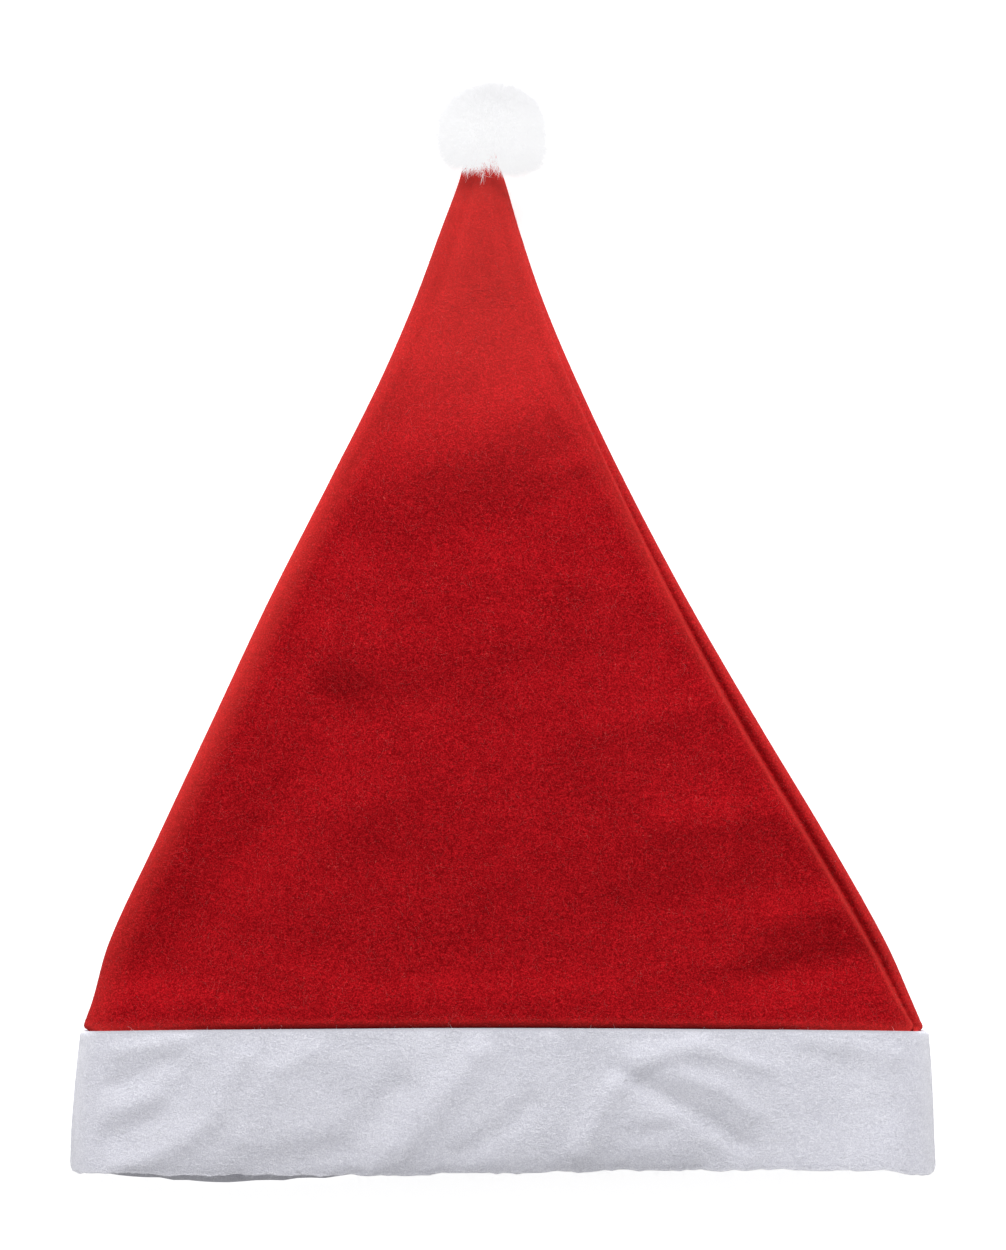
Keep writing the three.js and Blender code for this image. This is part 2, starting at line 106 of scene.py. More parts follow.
# The soft folds of the front, ridges and hollows that follow a path. rise and spread: how many times the
# common rise and spread of a fold. Then the path's points: shares of the mouth's width from its middle,
# and of the piece's height from the seam.
CROWN_FOLDS = [
    fold(0.35, 0.45, (-0.44, 0.035), (-0.34, 0.03)),
    fold(0.5, 0.6, (-0.29, 0.065), (-0.2, 0.055)),
    fold(0.35, 0.45, (-0.13, 0.03), (-0.05, 0.045)),
    fold(0.5, 0.55, (0.0, 0.04), (0.1, 0.045)),
    fold(0.5, 0.5, (0.15, 0.055), (0.26, 0.075)),
    fold(-1.7, 0.95, (-0.395, 0.08), (-0.265, 0.24), (-0.19, 0.37)),
    fold(-0.3, 0.7, (-0.2, 0.37), (-0.08, 0.385)),
    fold(-1.1, 0.6, (0.3, 0.06), (0.44, 0.09)),
    fold(0.8, 0.5, (0.31, 0.12), (0.42, 0.15)),
    fold(-0.55, 0.75, (0.1, 0.13), (0.3, 0.17)),
    fold(0.85, 0.65, (0.19, 0.23), (0.33, 0.25)),
    fold(-0.3, 0.7, (-0.22, 0.175), (-0.1, 0.19)),
    fold(0.5, 0.8, (-0.25, 0.245), (-0.13, 0.265)),
    fold(-0.35, 0.9, (-0.17, 0.345), (-0.03, 0.36)),
    fold(0.3, 0.8, (-0.2, 0.43), (0.0, 0.45)),
    fold(0.45, 0.6, (0.1, 0.34), (0.24, 0.37)),
    fold(-0.3, 0.6, (0.02, 0.41), (0.16, 0.43)),
    fold(-0.38, 0.75, (-0.12, 0.545), (0.04, 0.59)),
    fold(0.45, 0.4, (0.06, 0.635), (0.115, 0.655)),
    fold(0.35, 0.5, (0.09, 0.505), (0.17, 0.5)),
    fold(1.1, 1.25, (-0.155, 0.62), (-0.06, 0.655), (0.06, 0.71)),
]
BAND_FOLDS = [
    fold(0.3, 0.3, (-0.46, -0.16), (-0.37, -0.07)),
    fold(-0.28, 0.3, (-0.455, -0.39), (-0.385, -0.23)),
    fold(0.25, 0.3, (-0.475, -0.62), (-0.4, -0.45)),
    fold(-0.3, 0.34, (-0.475, -0.8), (-0.395, -0.6), (-0.355, -0.3)),
    fold(0.45, 0.38, (-0.46, -1.0), (-0.39, -0.85), (-0.335, -0.62), (-0.3, -0.2)),
    fold(0.25, 0.35, (-0.3, -0.75), (-0.265, -0.3), (-0.22, -0.16)),
    fold(-0.42, 0.5, (-0.27, -0.92), (-0.175, -0.8), (-0.12, -0.4)),
    fold(0.42, 0.45, (-0.145, -0.98), (-0.09, -0.65), (-0.03, -0.18)),
    fold(-0.33, 0.36, (-0.045, -0.86), (0.0, -0.7), (0.035, -0.52)),
    fold(0.55, 0.42, (0.09, -0.87), (0.124, -0.46), (0.16, -0.22), (0.22, -0.13)),
    fold(-0.42, 0.34, (0.135, -0.3), (0.19, -0.5), (0.215, -0.56), (0.275, -0.82)),
    fold(0.28, 0.32, (0.2, -0.32), (0.25, -0.42), (0.29, -0.6)),
    fold(-0.22, 0.3, (0.15, -0.75), (0.19, -0.72)),
    fold(0.25, 0.3, (0.245, -0.16), (0.305, -0.28)),
    fold(0.9, 1.5, (0.34, -1.12), (0.5, -0.92)),
    fold(0.25, 0.4, (0.35, -0.06), (0.47, -0.2)),
    fold(-0.35, 0.32, (-0.47, -1.03), (0.22, -1.03)),
]

# The lying felt. Shares are of the mouth's width across the hat and of the crown's height along it.
FORM = SimpleNamespace(
    seam_start_setback=0.4,
    fold_of_height=0.45,
    fold_of_width=0.35,
    fold_ease=9 * MM,
    edge_rise=0.3,
    tip_round_from=0.55,
    tip_round_over=0.3,
    full_seam_setback=4 * MM,
    full_seam_width=30 * MM,
    ply_edge=1.2 * MM,
    ply_end=9 * MM,
    pucker_fade=0.88,
    pucker_fade_from=0.33,
    pucker_fade_over=0.42,
    seam_arch_reach=73 * MM,
)

# The band's raw edge: the front's long wave, where the back hangs out and the corner droops, the strays
# of the cut, short and long, and how far apart the front's strays lie from the back's.
EDGE = SimpleNamespace(
    wave_length=1.08,
    dip_at=-0.315,
    dip_spread=0.19,
    droop_from=0.44,
    droop_over=0.05,
    corner_reach=12 * MM,
    cut_reach=3 * MM,
    cut_short=2.1 * MM,
    cut_long=6.5 * MM,
    short_apart=40 * MM,
    long_apart=1 * MM,
    rim=0.15 * MM,
)

# The felt's slight unevenness: how high its hills are and how far apart, and its gathers at the seam.
UNEVEN = SimpleNamespace(
    broad=0.35 * MM,
    broad_size=24 * MM,
    middle=0.13 * MM,
    middle_size=13 * MM,
    fine=0.035 * MM,
    fine_size=4.3 * MM,
    gathers=0.45 * MM,
    gather_size=8 * MM,
    gather_stretch=0.3,
    gather_reach=9 * MM,
)

# Light and shade painted into the felt's colour. Above 0 a painted highlight makes it pale, below 0 painted
# shade makes it dark.
LIGHT_PAINT = SimpleNamespace(
    crown_reach=12 * MM,
    strip_reach=5 * MM,
    band_reach=7 * MM,
    strip=0.6,
    rim=0.75,
    rim_at=1.0 * MM,
    rim_spread=1.1 * MM,
    least=0.4,
    grown_at=0.35,
    even_from=0.5,
    even_over=0.35,
    seam=0.5,
    seam_reach=4 * MM,
    tip=1.4,
    tip_from=0.925,
    tip_over=0.05,
    shade=0.28,
    shade_reach=8 * MM,
    shade_from=0.76,
    shade_over=0.12,
    turn=1.1,
    turn_from=-1.6 * MM,
    turn_over=1.4 * MM,
    turn_plies=1.6,
    edge=1.0,
    edge_reach=1.2 * MM,
)

# The soft noise repeats after a square of steps, and each use of it has its own lie
LATTICE = 64
SEEDS = SimpleNamespace(
    broad=3, middle=5, fine=7, gathers=9, cut_short=31, cut_long=32, core=41, wisps=51, fine_wisps=52, thin=53
)


def length(name, description, default):
    return bpy.props.FloatProperty(
        name=name, description=description, default=default, unit="LENGTH", precision=4
    )


def share(name, description, default):
    return bpy.props.FloatProperty(
        name=name, description=description, default=default, min=0.0, max=1.0, subtype="FACTOR"
    )


def strength(name, description, default, unit="NONE"):
    return bpy.props.FloatProperty(name=name, description=description, default=default, min=0.0, unit=unit)


def number(name, description, default):
    return bpy.props.IntProperty(name=name, description=description, default=default, min=0)


def colour(name, description, default):
    return bpy.props.FloatVectorProperty(
        name=name, description=description, default=default, min=0.0, max=1.0, size=3, subtype="COLOR"
    )


class HatForm(bpy.types.PropertyGroup):
    mouth_width: length("Mouth width", "Flat width of the band's raw edge", BAND_HIGH[0] - BAND_LOW[0])
    band_height: length("Band height", "From the raw edge to the seam", 48 * MM)
    band_loft: length("Band loft", "Height of the lying band at the seam", 19 * MM)
    band_turn: length("Band turn", "Width of the edge turned in at the seam", 7 * MM)
    crown_loft: length("Crown loft", "Height of the lying crown at its fullest", 16 * MM)
    crown_tuck: length("Crown tuck", "Length of the crown sewn inside the band", 9 * MM)
    felt: length("Felt", "Thickness of the felt", 1.2 * MM)
    fold_radius: length("Fold radius", "Outer radius of the crown's side folds", 4 * MM)
    tip_round: length("Tip round", "How much rounder the side folds are near the tip", 2.5 * MM)
    settle_length: length("Settle length", "Length over which the crown comes down to the surface", 20 * MM)
    tip_rise: length("Tip rise", "Length over which the crown climbs to the pompom", 66 * MM)
    tip_wall: length("Tip wall", "Length of the tip that is tied shut", 6 * MM)
    tip_below: length("Tip below", "How far the tip's middle lies below the pompom's", 3.5 * MM)
    tip_depth: length("Tip depth", "How far the tip goes into the pompom", 8 * MM)
    seam_drop: length("Seam drop", "How far the sewn edge is drawn down towards the mouth", 1.0 * MM)
    dent_rise: length("Dent rise", "Height of a soft fold whose rise is 1", 1.8 * MM)
    dent_spread: length("Dent spread", "Breadth of a soft fold whose spread is 1", 11 * MM)


class SeamForm(bpy.types.PropertyGroup):
    allowance: length("Allowance", "Width of the two plies inside, beside the side seam", 6.5 * MM)
    setback: length("Setback", "How far the side seam lies in from the right fold", 6 * MM)
    depth: length("Groove depth", "How far the side seam pulls the felt in", 1.9 * MM)
    width: length("Groove width", "Half the breadth of the groove", 0.62 * MM)
    strip_slope: length("Strip slope", "Breadth of the groove's slope on the strip beyond it", 1.9 * MM)
    ply_rise: length("Ply rise", "How far the hidden plies push the front up", 0.5 * MM)
    stitch: length("Stitch", "Length of one stitch of the seams", 3.4 * MM)
    pucker: share("Pucker", "How much the stitches gather the felt", 0.1)
    edge_wave: length("Edge wave", "Wave in the front's raw edge", 1.05 * MM)
    back_short: length("Back short", "How much shorter the back's raw edge is", 1.4 * MM)
    back_dip: length("Back dip", "How far the back hangs out on the left", 5.5 * MM)
    ragged: length("Ragged", "How far the raw edge strays where it was cut", 0.45 * MM)
    droop: length("Droop", "How far the raw edge's right corner hangs down", 1.3 * MM)
    corner: length("Corner", "Radius of the raw edge's corners", 3.2 * MM)


class FeltLook(bpy.types.PropertyGroup):
    red: colour("Red", "Red felt", (0.19, 0.0003, 0.0022))
    red_light: colour("Light red", "Raised fibres of the red felt", (0.575, 0.009, 0.015))
    # highlight colour of the red felt, used for its painted highlights and the painted light towards the tip
    red_highlight: colour("Pale red", "Red felt where the nap is brushed up", (0.95, 0.066, 0.055))
    red_fleck: colour("Red fleck", "Rare pale fibres and sheen of the red felt", (0.75, 0.12, 0.1))
    red_sheen: share("Red sheen", "Sheen of the red felt", 0.1)
    white: colour("White", "White felt", (0.635, 0.635, 0.71))
    white_light: colour("Light white", "Raised fibres of the white felt", (0.875, 0.875, 0.94))
    white_highlight: colour("Pale white", "White felt where the nap is brushed up", (0.9, 0.9, 0.94))
    # highlight colour of the white felt, used for its painted highlights
    white_fleck: colour("White fleck", "Rare pale fibres and sheen of the white felt", (0.93, 0.93, 0.96))
    white_sheen: share("White sheen", "Sheen of the white felt", 0.3)
    red_fibre: colour("Red fibre", "Loose red fibres", (0.62, 0.03, 0.03))
    red_fibre_deep: colour("Deep red fibre", "Darkest loose red fibres", (0.36, 0.008, 0.012))
    white_fibre: colour("White fibre", "Loose white fibres", (0.9, 0.9, 0.93))
    white_fibre_deep: colour("Deep white fibre", "Darkest loose white fibres", (0.7, 0.71, 0.76))
    fibre_length: length("Fibre length", "Length of a loose fibre on the felt", 3.2 * MM)
    fibre_width: length("Fibre width", "Thickness of a loose fibre", 0.065 * MM)
    crown_fibres: number("Crown fibres", "Loose fibres on the crown", 9000)
    band_fibres: number("Band fibres", "Loose fibres on the band", 6000)
    edge_fuzz: strength("Edge fuzz", "How much closer the fibres lie at the raw edge and the seam", 5.0)
    seed: number("Seed", "Picks another lie of the fibres", 11)


class PompomLook(bpy.types.PropertyGroup):
    # the fluff is dark in itself, and a painted glow, emitted light though it is no lamp, makes it white
    fluff: colour("Fluff", "Colour of the pompom's fluff", (0.17, 0.17, 0.175))
    glow: share("Glow", "Light that the thin fluff passes on from strand to strand", 0.825)
    locks: number("Locks", "Tufts that the fluff gathers in", 260)
    wisps: number("Wisps", "Loose wisps over the red tip, before the thin patches lose theirs", 6300)
    bare: share("Bare", "Share of the fluff that is missing over the red tip", 0.95)
    strands: number("Strands", "Fluff strands in each layer of the pompom", 9000)
    strand_width: length("Strand width", "Thickness of a strand of fluff", 0.16 * MM)
    overhang: length("Overhang", "How far the fluff stands out of the solid's outline", 3.0 * MM)
    seed: number("Seed", "Picks another lie of the fluff", 23)


class StageLook(bpy.types.PropertyGroup):
    floor: colour("Floor", "Colour of the floor", (0.6, 0.6, 0.6))
    glow: share("Glow", "Even light that comes up through the pale floor", 0.78)
    key_power: strength("Key light", "Soft light from beyond the pompom", 38.0, "POWER")
    key_size: length("Key size", "Side of the square soft light", 0.9)
    sky: strength("Sky", "Strength of the even light all round", 0.42)
    camera_height: length("Camera height", "Height of the camera above the surface", 2.4)
    camera_along: length("Camera along", "How far the camera is from the seam, along the hat", 134.97 * MM)
    frame_height: length("Frame height", "Height of the picture at the hat's front", 417.6 * MM)


# Form of the lying felt


def smooth(v):
    v = np.clip(v, 0.0, 1.0)
    return v * v * (3 - 2 * v)


def eased(v, start, over):
    """From 0 to 1 as the value goes from a start over a stretch."""
    return smooth((v - start) / over)


def mix(a, b, part):
    return a + (b - a) * part


def bell(v):
    return np.exp(-v * v)


def read(rows, column, along):
    """A smooth curve through one column of a table, at places along it."""
    at = np.array([row["along"] for row in rows])
    value = np.array([row[column] for row in rows])
    slope = np.gradient(value)
    slope[1:-1] = (value[2:] - value[:-2]) / (at[2:] - at[:-2])
    slope[0] = (value[1] - value[0]) / (at[1] - at[0])
    slope[-1] = (value[-1] - value[-2]) / (at[-1] - at[-2])
    i = np.clip(np.searchsorted(at, along), 1, len(at) - 1)
    step = at[i] - at[i - 1]
    s = np.clip((along - at[i - 1]) / step, 0, 1)
    ease = smooth(s)
    bow = slope[i - 1] * s * (1 - s) ** 2 - slope[i] * s * s * (1 - s)
    return value[i - 1] * (1 - ease) + value[i] * ease + step * bow


def soft_noise(x, y, size, seed):
    """Smooth hills and hollows about one size across, from -1 to 1."""
    table = np.random.default_rng(seed).uniform(-1, 1, (LATTICE, LATTICE))
    u, v = x / size, y / size
    i, j = np.floor(u).astype(int), np.floor(v).astype(int)
    ease_u, ease_v = smooth(u - i), smooth(v - j)

    def corner(a, b):
        return table[(i + a) % LATTICE, (j + b) % LATTICE]

    low = mix(corner(0, 0), corner(1, 0), ease_u)
    high = mix(corner(0, 1), corner(1, 1), ease_u)
    return mix(low, high, ease_v)


def seam_inset(form):
    return 2 * form.felt + CLEARANCE


def band_section(form, seam, y):
    """The outside of the lying band at places along it: ends, lift, height, fold radius and side seam."""
    along = 1 + y / form.band_height
    height = form.band_loft * read(BAND_SECTIONS, "loft", along)
    return SimpleNamespace(
        y=y,
        left=form.mouth_width * read(BAND_SECTIONS, "left", along),
        right=form.mouth_width * read(BAND_SECTIONS, "right", along),
        lift=np.zeros_like(y),
        height=height,
        fold=np.minimum(form.fold_radius + seam_inset(form), FORM.fold_of_height * height),
        seam=np.full_like(y, FORM.seam_start_setback * seam.setback + seam_inset(form)),
    )


def crown_section(form, seam, y):
    """The outside of the lying crown at places along it, from where it comes out of the band."""
    inset = seam_inset(form)
    band = band_section(form, seam, np.zeros(1))
    start = outline(
        0.0,
        (band.left[0] + inset) / form.mouth_width,
        (band.right[0] - inset) / form.mouth_width,
        (band.height[0] - 2 * inset) / form.crown_loft,
        FORM.seam_start_setback,
    )
    rows = [start, *CROWN_SECTIONS]
    along = y / CROWN_HEIGHT
    left = form.mouth_width * read(rows, "left", along)
    right = form.mouth_width * read(rows, "right", along)
    height = form.crown_loft * read(rows, "loft", along)
    tip_height = form.crown_loft * CROWN_SECTIONS[-1]["loft"]
    tip_lift = pompom_middle()[2] - form.tip_below - tip_height / 2
    settle = inset * (1 - smooth(y / form.settle_length))
    climb = tip_lift * smooth(1 - (CROWN_HEIGHT - y) / form.tip_rise)
    radius = form.fold_radius + form.tip_round * eased(along, FORM.tip_round_from, FORM.tip_round_over)
    room = np.minimum(FORM.fold_of_height * height, FORM.fold_of_width * (right - left))
    return SimpleNamespace(
        y=y,
        left=left,
        right=right,
        lift=settle + climb,
        height=height,
        fold=np.minimum(radius, room),
        seam=seam.setback * read(rows, "setback", along),
    )


def pompom_middle():
    return (POMPOM_LOW + POMPOM_HIGH) / 2


def away_from(path, x, y):
    """Distance to the nearest point of a path of straight stretches."""
    nearest = np.full_like(x, np.inf)
    for (ax, ay), (bx, by) in zip(path[:-1], path[1:]):
        dx, dy = bx - ax, by - ay
        part = np.clip(((x - ax) * dx + (y - ay) * dy) / (dx * dx + dy * dy), 0, 1)
        nearest = np.minimum(nearest, np.hypot(x - ax - part * dx, y - ay - part * dy))
    return nearest


def dents(form, x, y):
    """Height that the soft folds add to the front."""
    total = np.zeros_like(x)
    for folds, height in ((CROWN_FOLDS, CROWN_HEIGHT), (BAND_FOLDS, form.band_height)):
        for dent in folds:
            path = [(form.mouth_width * across, height * along) for across, along in dent.path]
            away = away_from(path, x, y)
            total += form.dent_rise * dent.rise * bell(away / (form.dent_spread * dent.spread))
    return total


def undulation(x, y):
    """The felt's own slight unevenness, and the gathers beside the seam."""
    broad = UNEVEN.broad * soft_noise(x, y, UNEVEN.broad_size, SEEDS.broad)
    middle = UNEVEN.middle * soft_noise(x + y, y - x, UNEVEN.middle_size, SEEDS.middle)
    fine = UNEVEN.fine * soft_noise(x, y, UNEVEN.fine_size, SEEDS.fine)
    gathers = soft_noise(x, UNEVEN.gather_stretch * y, UNEVEN.gather_size, SEEDS.gathers)
    return broad + middle + fine + UNEVEN.gathers * gathers * np.exp(-np.abs(y) / UNEVEN.gather_reach)


# Steps of a ring of points, and how many groove widths the closest ones cover, then the next ones
RING_KNOTS = SimpleNamespace(start=8, groove=26, beside=10, top=120, fold=14, under=60)
GROOVE_REACH = 2.4
BESIDE_REACH = 4


def ring_places(section, seam):
    """Distances round the outside: over the top from the right end to the left, then back underneath."""
    arc = section.fold * math.pi / 2
    width = section.right - section.left
    over = 2 * arc + width - 2 * section.fold
    in_arc = section.fold * np.arccos(np.clip(1 - section.seam / section.fold, -1, 1))
    groove = np.where(section.seam < section.fold, in_arc, arc + section.seam - section.fold)
    narrow = np.minimum(1, np.minimum(groove / FORM.full_seam_setback, width / FORM.full_seam_width))
    near = GROOVE_REACH * seam.width * narrow
    beside = BESIDE_REACH * near

    def stretch(first, last, steps, ends=False):
        part = np.linspace(0, 1, steps, endpoint=ends)
        return first[:, None] + (last - first)[:, None] * part

    zero = np.zeros_like(arc)
    top = np.hstack([
        stretch(zero, groove - near, RING_KNOTS.start),
        stretch(groove - near, groove + near, RING_KNOTS.groove),
        stretch(groove + near, groove + beside, RING_KNOTS.beside),
        stretch(groove + beside, over - arc, RING_KNOTS.top),
        stretch(over - arc, over, RING_KNOTS.fold, ends=True),
    ])
    under = np.hstack([
        stretch(zero, arc, RING_KNOTS.fold)[:, 1:],
        stretch(arc, over - arc, RING_KNOTS.under),
        stretch(over - arc, over, RING_KNOTS.fold),
    ])
    return top, under, arc, over, groove, narrow


def on_section(section, distance, is_top, inset, arc, over):
    """x, z and fullness of the points at a distance along a section's top or underside."""
    up = 1 if is_top else -1
    left, right, lift, height, radius = (
        value[:, None] for value in (section.left, section.right, section.lift, section.height, section.fold)
    )
    arc, over = arc[:, None], over[:, None]
    part = np.clip((distance - arc) / (over - 2 * arc), 0, 1)
    at_right, at_left = distance < arc, distance > over - arc
    angle = np.where(at_right, distance, over - distance) / radius
    inner = radius - inset
    from_end = np.minimum(part, 1 - part)
    full = smooth(from_end / FORM.edge_rise)
    flat_z = lift + 2 * radius + (height - 2 * radius) * full - inset if is_top else lift + inset
    x = mix(right - radius, left + radius, part)
    x = np.where(at_right, right - radius + inner * np.cos(angle), x)
    x = np.where(at_left, left + radius - inner * np.cos(angle), x)
    z = np.where(at_right | at_left, lift + radius + up * inner * np.sin(angle), flat_z)
    room = from_end * (right - left)
    weight = np.where(at_right | at_left, 0.0, smooth(room / FORM.fold_ease) if is_top else 0.0)
    return x, z, weight


def rings(form, seam, section, set_in, wander):
    """Rows of rings of points round the hat, one ring for each place along it."""
    top, under, arc, over, groove, narrow = ring_places(section, seam)
    y = section.y[:, None]
    halves = []
    for distance, is_top in ((top, True), (under, False)):
        from_seam = (distance - groove[:, None]) / narrow[:, None] if is_top else np.full_like(distance, 1.0)
        inset = set_in(from_seam, narrow[:, None], y)
        measured = distance if is_top else over[:, None] - distance
        x_out, z_out, _ = on_section(section, measured, is_top, np.zeros_like(distance), arc, over)
        x, z, weight = on_section(section, measured, is_top, inset, arc, over)
        fill = np.clip((z_out - section.lift[:, None]) / section.height[:, None], 0, 1)
        z = z + weight * (dents(form, x_out, y + 0 * x_out) + undulation(x_out, y + 0 * x_out))
        halves.append(np.stack([x, y + wander(x_out, y, fill), z], axis=-1))
    return np.concatenate(halves, axis=1)


def seam_line(form, x):
    return SEAM_ARCH * np.cos(math.pi * x / form.mouth_width) - form.seam_drop


def band_wander(form, seam):
    """How far the band's rings stray along it: the waves of its raw edge and the arch of its seam."""

    def wander(x, y, fill):
        across = x / form.mouth_width
        front = seam.edge_wave * np.sin(2 * math.pi * across / EDGE.wave_length)
        back = seam.back_short - seam.back_dip * bell((across - EDGE.dip_at) / EDGE.dip_spread)
        aside = np.clip(1 + (np.abs(x) - form.mouth_width / 2) / seam.corner, 0, 1)
        corner = seam.corner * (1 - np.sqrt(1 - aside**2))
        droop = seam.droop * eased(across, EDGE.droop_from, EDGE.droop_over)
        strays = soft_noise(x, EDGE.short_apart * fill, EDGE.cut_short, SEEDS.cut_short)
        strays = strays + soft_noise(x, EDGE.long_apart * fill, EDGE.cut_long, SEEDS.cut_long)
        along = np.clip(1 + y / form.band_height, 0, 1)
        above = along * form.band_height
        at_cut = np.clip(1 - above / EDGE.cut_reach, 0, 1)
        near_edge = 1 - smooth(above / EDGE.corner_reach)
        line = mix(mix(back, front, smooth(fill)), seam_line(form, x), along)
        return line + at_cut * seam.ragged * strays + near_edge * (corner - droop)

    return wander


def crown_wander(form):
    return lambda x, y, fill: seam_line(form, x) * np.clip(1 - y / FORM.seam_arch_reach, 0, 1)


def crown_rings(form, seam, places, inside):
    """The crown's outside or inside, tucked into the band below the seam."""
    tucked, free = places[places <= 0], places[places > 0]
    parts = []
    for y, base in ((tucked, seam_inset(form)), (free, 0.0)):

        def set_in(from_seam, narrow, at, base=base):
            beside = smooth(from_seam / FORM.ply_edge) * (1 - eased(from_seam, seam.allowance, FORM.ply_end))
            gather = 1 + seam.pucker * np.sin(2 * math.pi * at / seam.stitch)
            faded = eased(at / CROWN_HEIGHT, FORM.pucker_fade_from, FORM.pucker_fade_over)
            gather *= 1 - FORM.pucker_fade * faded
            breadth = np.where(from_seam < 0, seam.strip_slope, seam.width)
            groove = seam.depth * gather * bell(from_seam / breadth)
            risen = smooth(at / form.settle_length)
            outer = base + narrow * (groove - risen * seam.ply_rise * beside)
            return outer + form.felt + narrow * 2 * form.felt * beside if inside else outer

        if len(y) == 0:
            continue
        section = crown_section(form, seam, y) if base == 0.0 else band_section(form, seam, y)
        wander = crown_wander(form) if base == 0.0 else band_wander(form, seam)
        parts.append(rings(form, seam, section, set_in, wander))
    return np.concatenate(parts)


# Meshes


def skin(rows, capped):
    """Faces of rings that follow each other; a cap closes the first and last ring with a point."""
    count, around = rows.shape[0], rows.shape[1]
    points = rows.reshape(-1, 3)
    j = np.arange(count - 1 if capped else count)[:, None]
    i = np.arange(around)[None, :]
    a, b = j * around, ((j + 1) % count) * around
    k = (i + 1) % around
    quads = np.stack([a + i, b + i, b + k, a + k], axis=-1).reshape(-1, 4)
    if not capped:
        return points, [quads]
    ends = [rows[0].mean(axis=0), rows[-1].mean(axis=0)]
    points = np.vstack([points, ends])
    i, k = i[0], k[0]
    first = np.stack([np.full_like(i, len(points) - 2), i, k], axis=-1)
    base = (count - 1) * around
    last = np.stack([np.full_like(i, len(points) - 1), base + k, base + i], axis=-1)
    return points, [quads, first, last]


def make_object(name, points, face_groups, material, painted_light=None):
    """One smooth object from points and arrays of faces, each array with faces of one size."""
    corners = np.concatenate([faces.ravel() for faces in face_groups])
    sizes = np.concatenate([np.full(len(faces), faces.shape[1]) for faces in face_groups])
    mesh = bpy.data.meshes.new(name)
    mesh.vertices.add(len(points))
    mesh.vertices.foreach_set("co", np.ascontiguousarray(points, dtype=np.float32).ravel())
    mesh.loops.add(len(corners))
    mesh.loops.foreach_set("vertex_index", corners.astype(np.int32))
    mesh.polygons.add(len(sizes))
    mesh.polygons.foreach_set("loop_start", np.concatenate([[0], np.cumsum(sizes)[:-1]]).astype(np.int32))
    mesh.polygons.foreach_set("use_smooth", np.ones(len(sizes), dtype=bool))
    mesh.update(calc_edges=True)
    if painted_light is not None:
        values = mesh.attributes.new("painted_light", "FLOAT", "POINT").data
        values.foreach_set("value", painted_light.astype(np.float32).ravel())
    mesh.materials.append(material)
    made = bpy.data.objects.new(name, mesh)
    bpy.context.scene.collection.objects.link(made)
    return made


def fold_highlight(section, points, reach):
    """How strong the painted highlight is: all at the side folds, and less over a reach towards the middle.
    """
    x = points[..., 0]
    from_left = x - section.left[:, None]
    from_right = section.right[:, None] - x
    return 1 - smooth(np.minimum(from_left, from_right) / reach)


def crown_light_paint(form, seam, points):
    """Painted highlights at the side folds, on the rim beside the side seam, next to the band and at the very
    tip.

    The side folds' painted highlights even out towards the tip, and there painted shade darkens the left
    fold.
    """
    along = np.maximum(points[:, :, 1].mean(axis=1), 0.0)
    up = along / CROWN_HEIGHT
    section = crown_section(form, seam, along)
    past_seam = section.right[:, None] - points[..., 0] - section.seam[:, None]
    on_top = points[..., 2] > (section.lift + section.height / 3)[:, None]
    # painted highlight on the rim beside the side seam
    rim = LIGHT_PAINT.rim * bell((past_seam - LIGHT_PAINT.rim_at) / LIGHT_PAINT.rim_spread) * on_top
    even = eased(up, LIGHT_PAINT.even_from, LIGHT_PAINT.even_over)[:, None]
    grown = mix(LIGHT_PAINT.least, 1.0, smooth(along / (LIGHT_PAINT.grown_at * CROWN_HEIGHT)))[:, None]
    # painted highlight at the side folds
    main = fold_highlight(section, points, LIGHT_PAINT.crown_reach) * grown * (past_seam > 0)
    # painted highlight on the strip beyond the side seam
    strip = LIGHT_PAINT.strip * fold_highlight(section, points, LIGHT_PAINT.strip_reach) * (past_seam <= 0)
    # painted light next to the band's seam, lifting the shade there
    at_seam = LIGHT_PAINT.seam * (1 - smooth(along / LIGHT_PAINT.seam_reach))[:, None]
    # painted light at the very tip, lifting the pompom's shadow
    at_tip = LIGHT_PAINT.tip * eased(up, LIGHT_PAINT.tip_from, LIGHT_PAINT.tip_over)[:, None]
    # painted shade on the left fold near the tip
    near_left = 1 - smooth((points[..., 0] - section.left[:, None]) / LIGHT_PAINT.shade_reach)
    shaded = LIGHT_PAINT.shade * near_left * eased(up, LIGHT_PAINT.shade_from, LIGHT_PAINT.shade_over)[:, None]
    return np.maximum(np.maximum(main, rim), strip) * (1 - even) + at_seam + at_tip - shaded


def band_light_paint(form, seam, points, y, insets):
    """Painted highlights at the side folds and the raw edge, and painted shade on the turned edge at the
    seam.
    """
    outer = insets < LIGHT_PAINT.turn_plies * form.felt
    # painted shade on the turned edge below the crown
    at_turn = LIGHT_PAINT.turn * eased(y, LIGHT_PAINT.turn_from, LIGHT_PAINT.turn_over) * outer
    # painted highlight along the raw edge
    at_edge = LIGHT_PAINT.edge * (1 - smooth((y + form.band_height) / LIGHT_PAINT.edge_reach))
    # painted highlight at the side folds
    at_folds = fold_highlight(band_section(form, seam, y), points, LIGHT_PAINT.band_reach)
    return at_folds + (at_edge - at_turn)[:, None]


def in_row(points):
    """From places counted along the hat to the row's frame."""
    return points + np.array([0.0, SEAM_Y, 0.0])


# A strand's cross-section and joints, how much thinner it gets, and how steep one must be to be framed
# by the X axis and no longer by the Z axis
SIDES = 3
JOINTS = 3
TAPER = 0.75
STEEP = 0.8


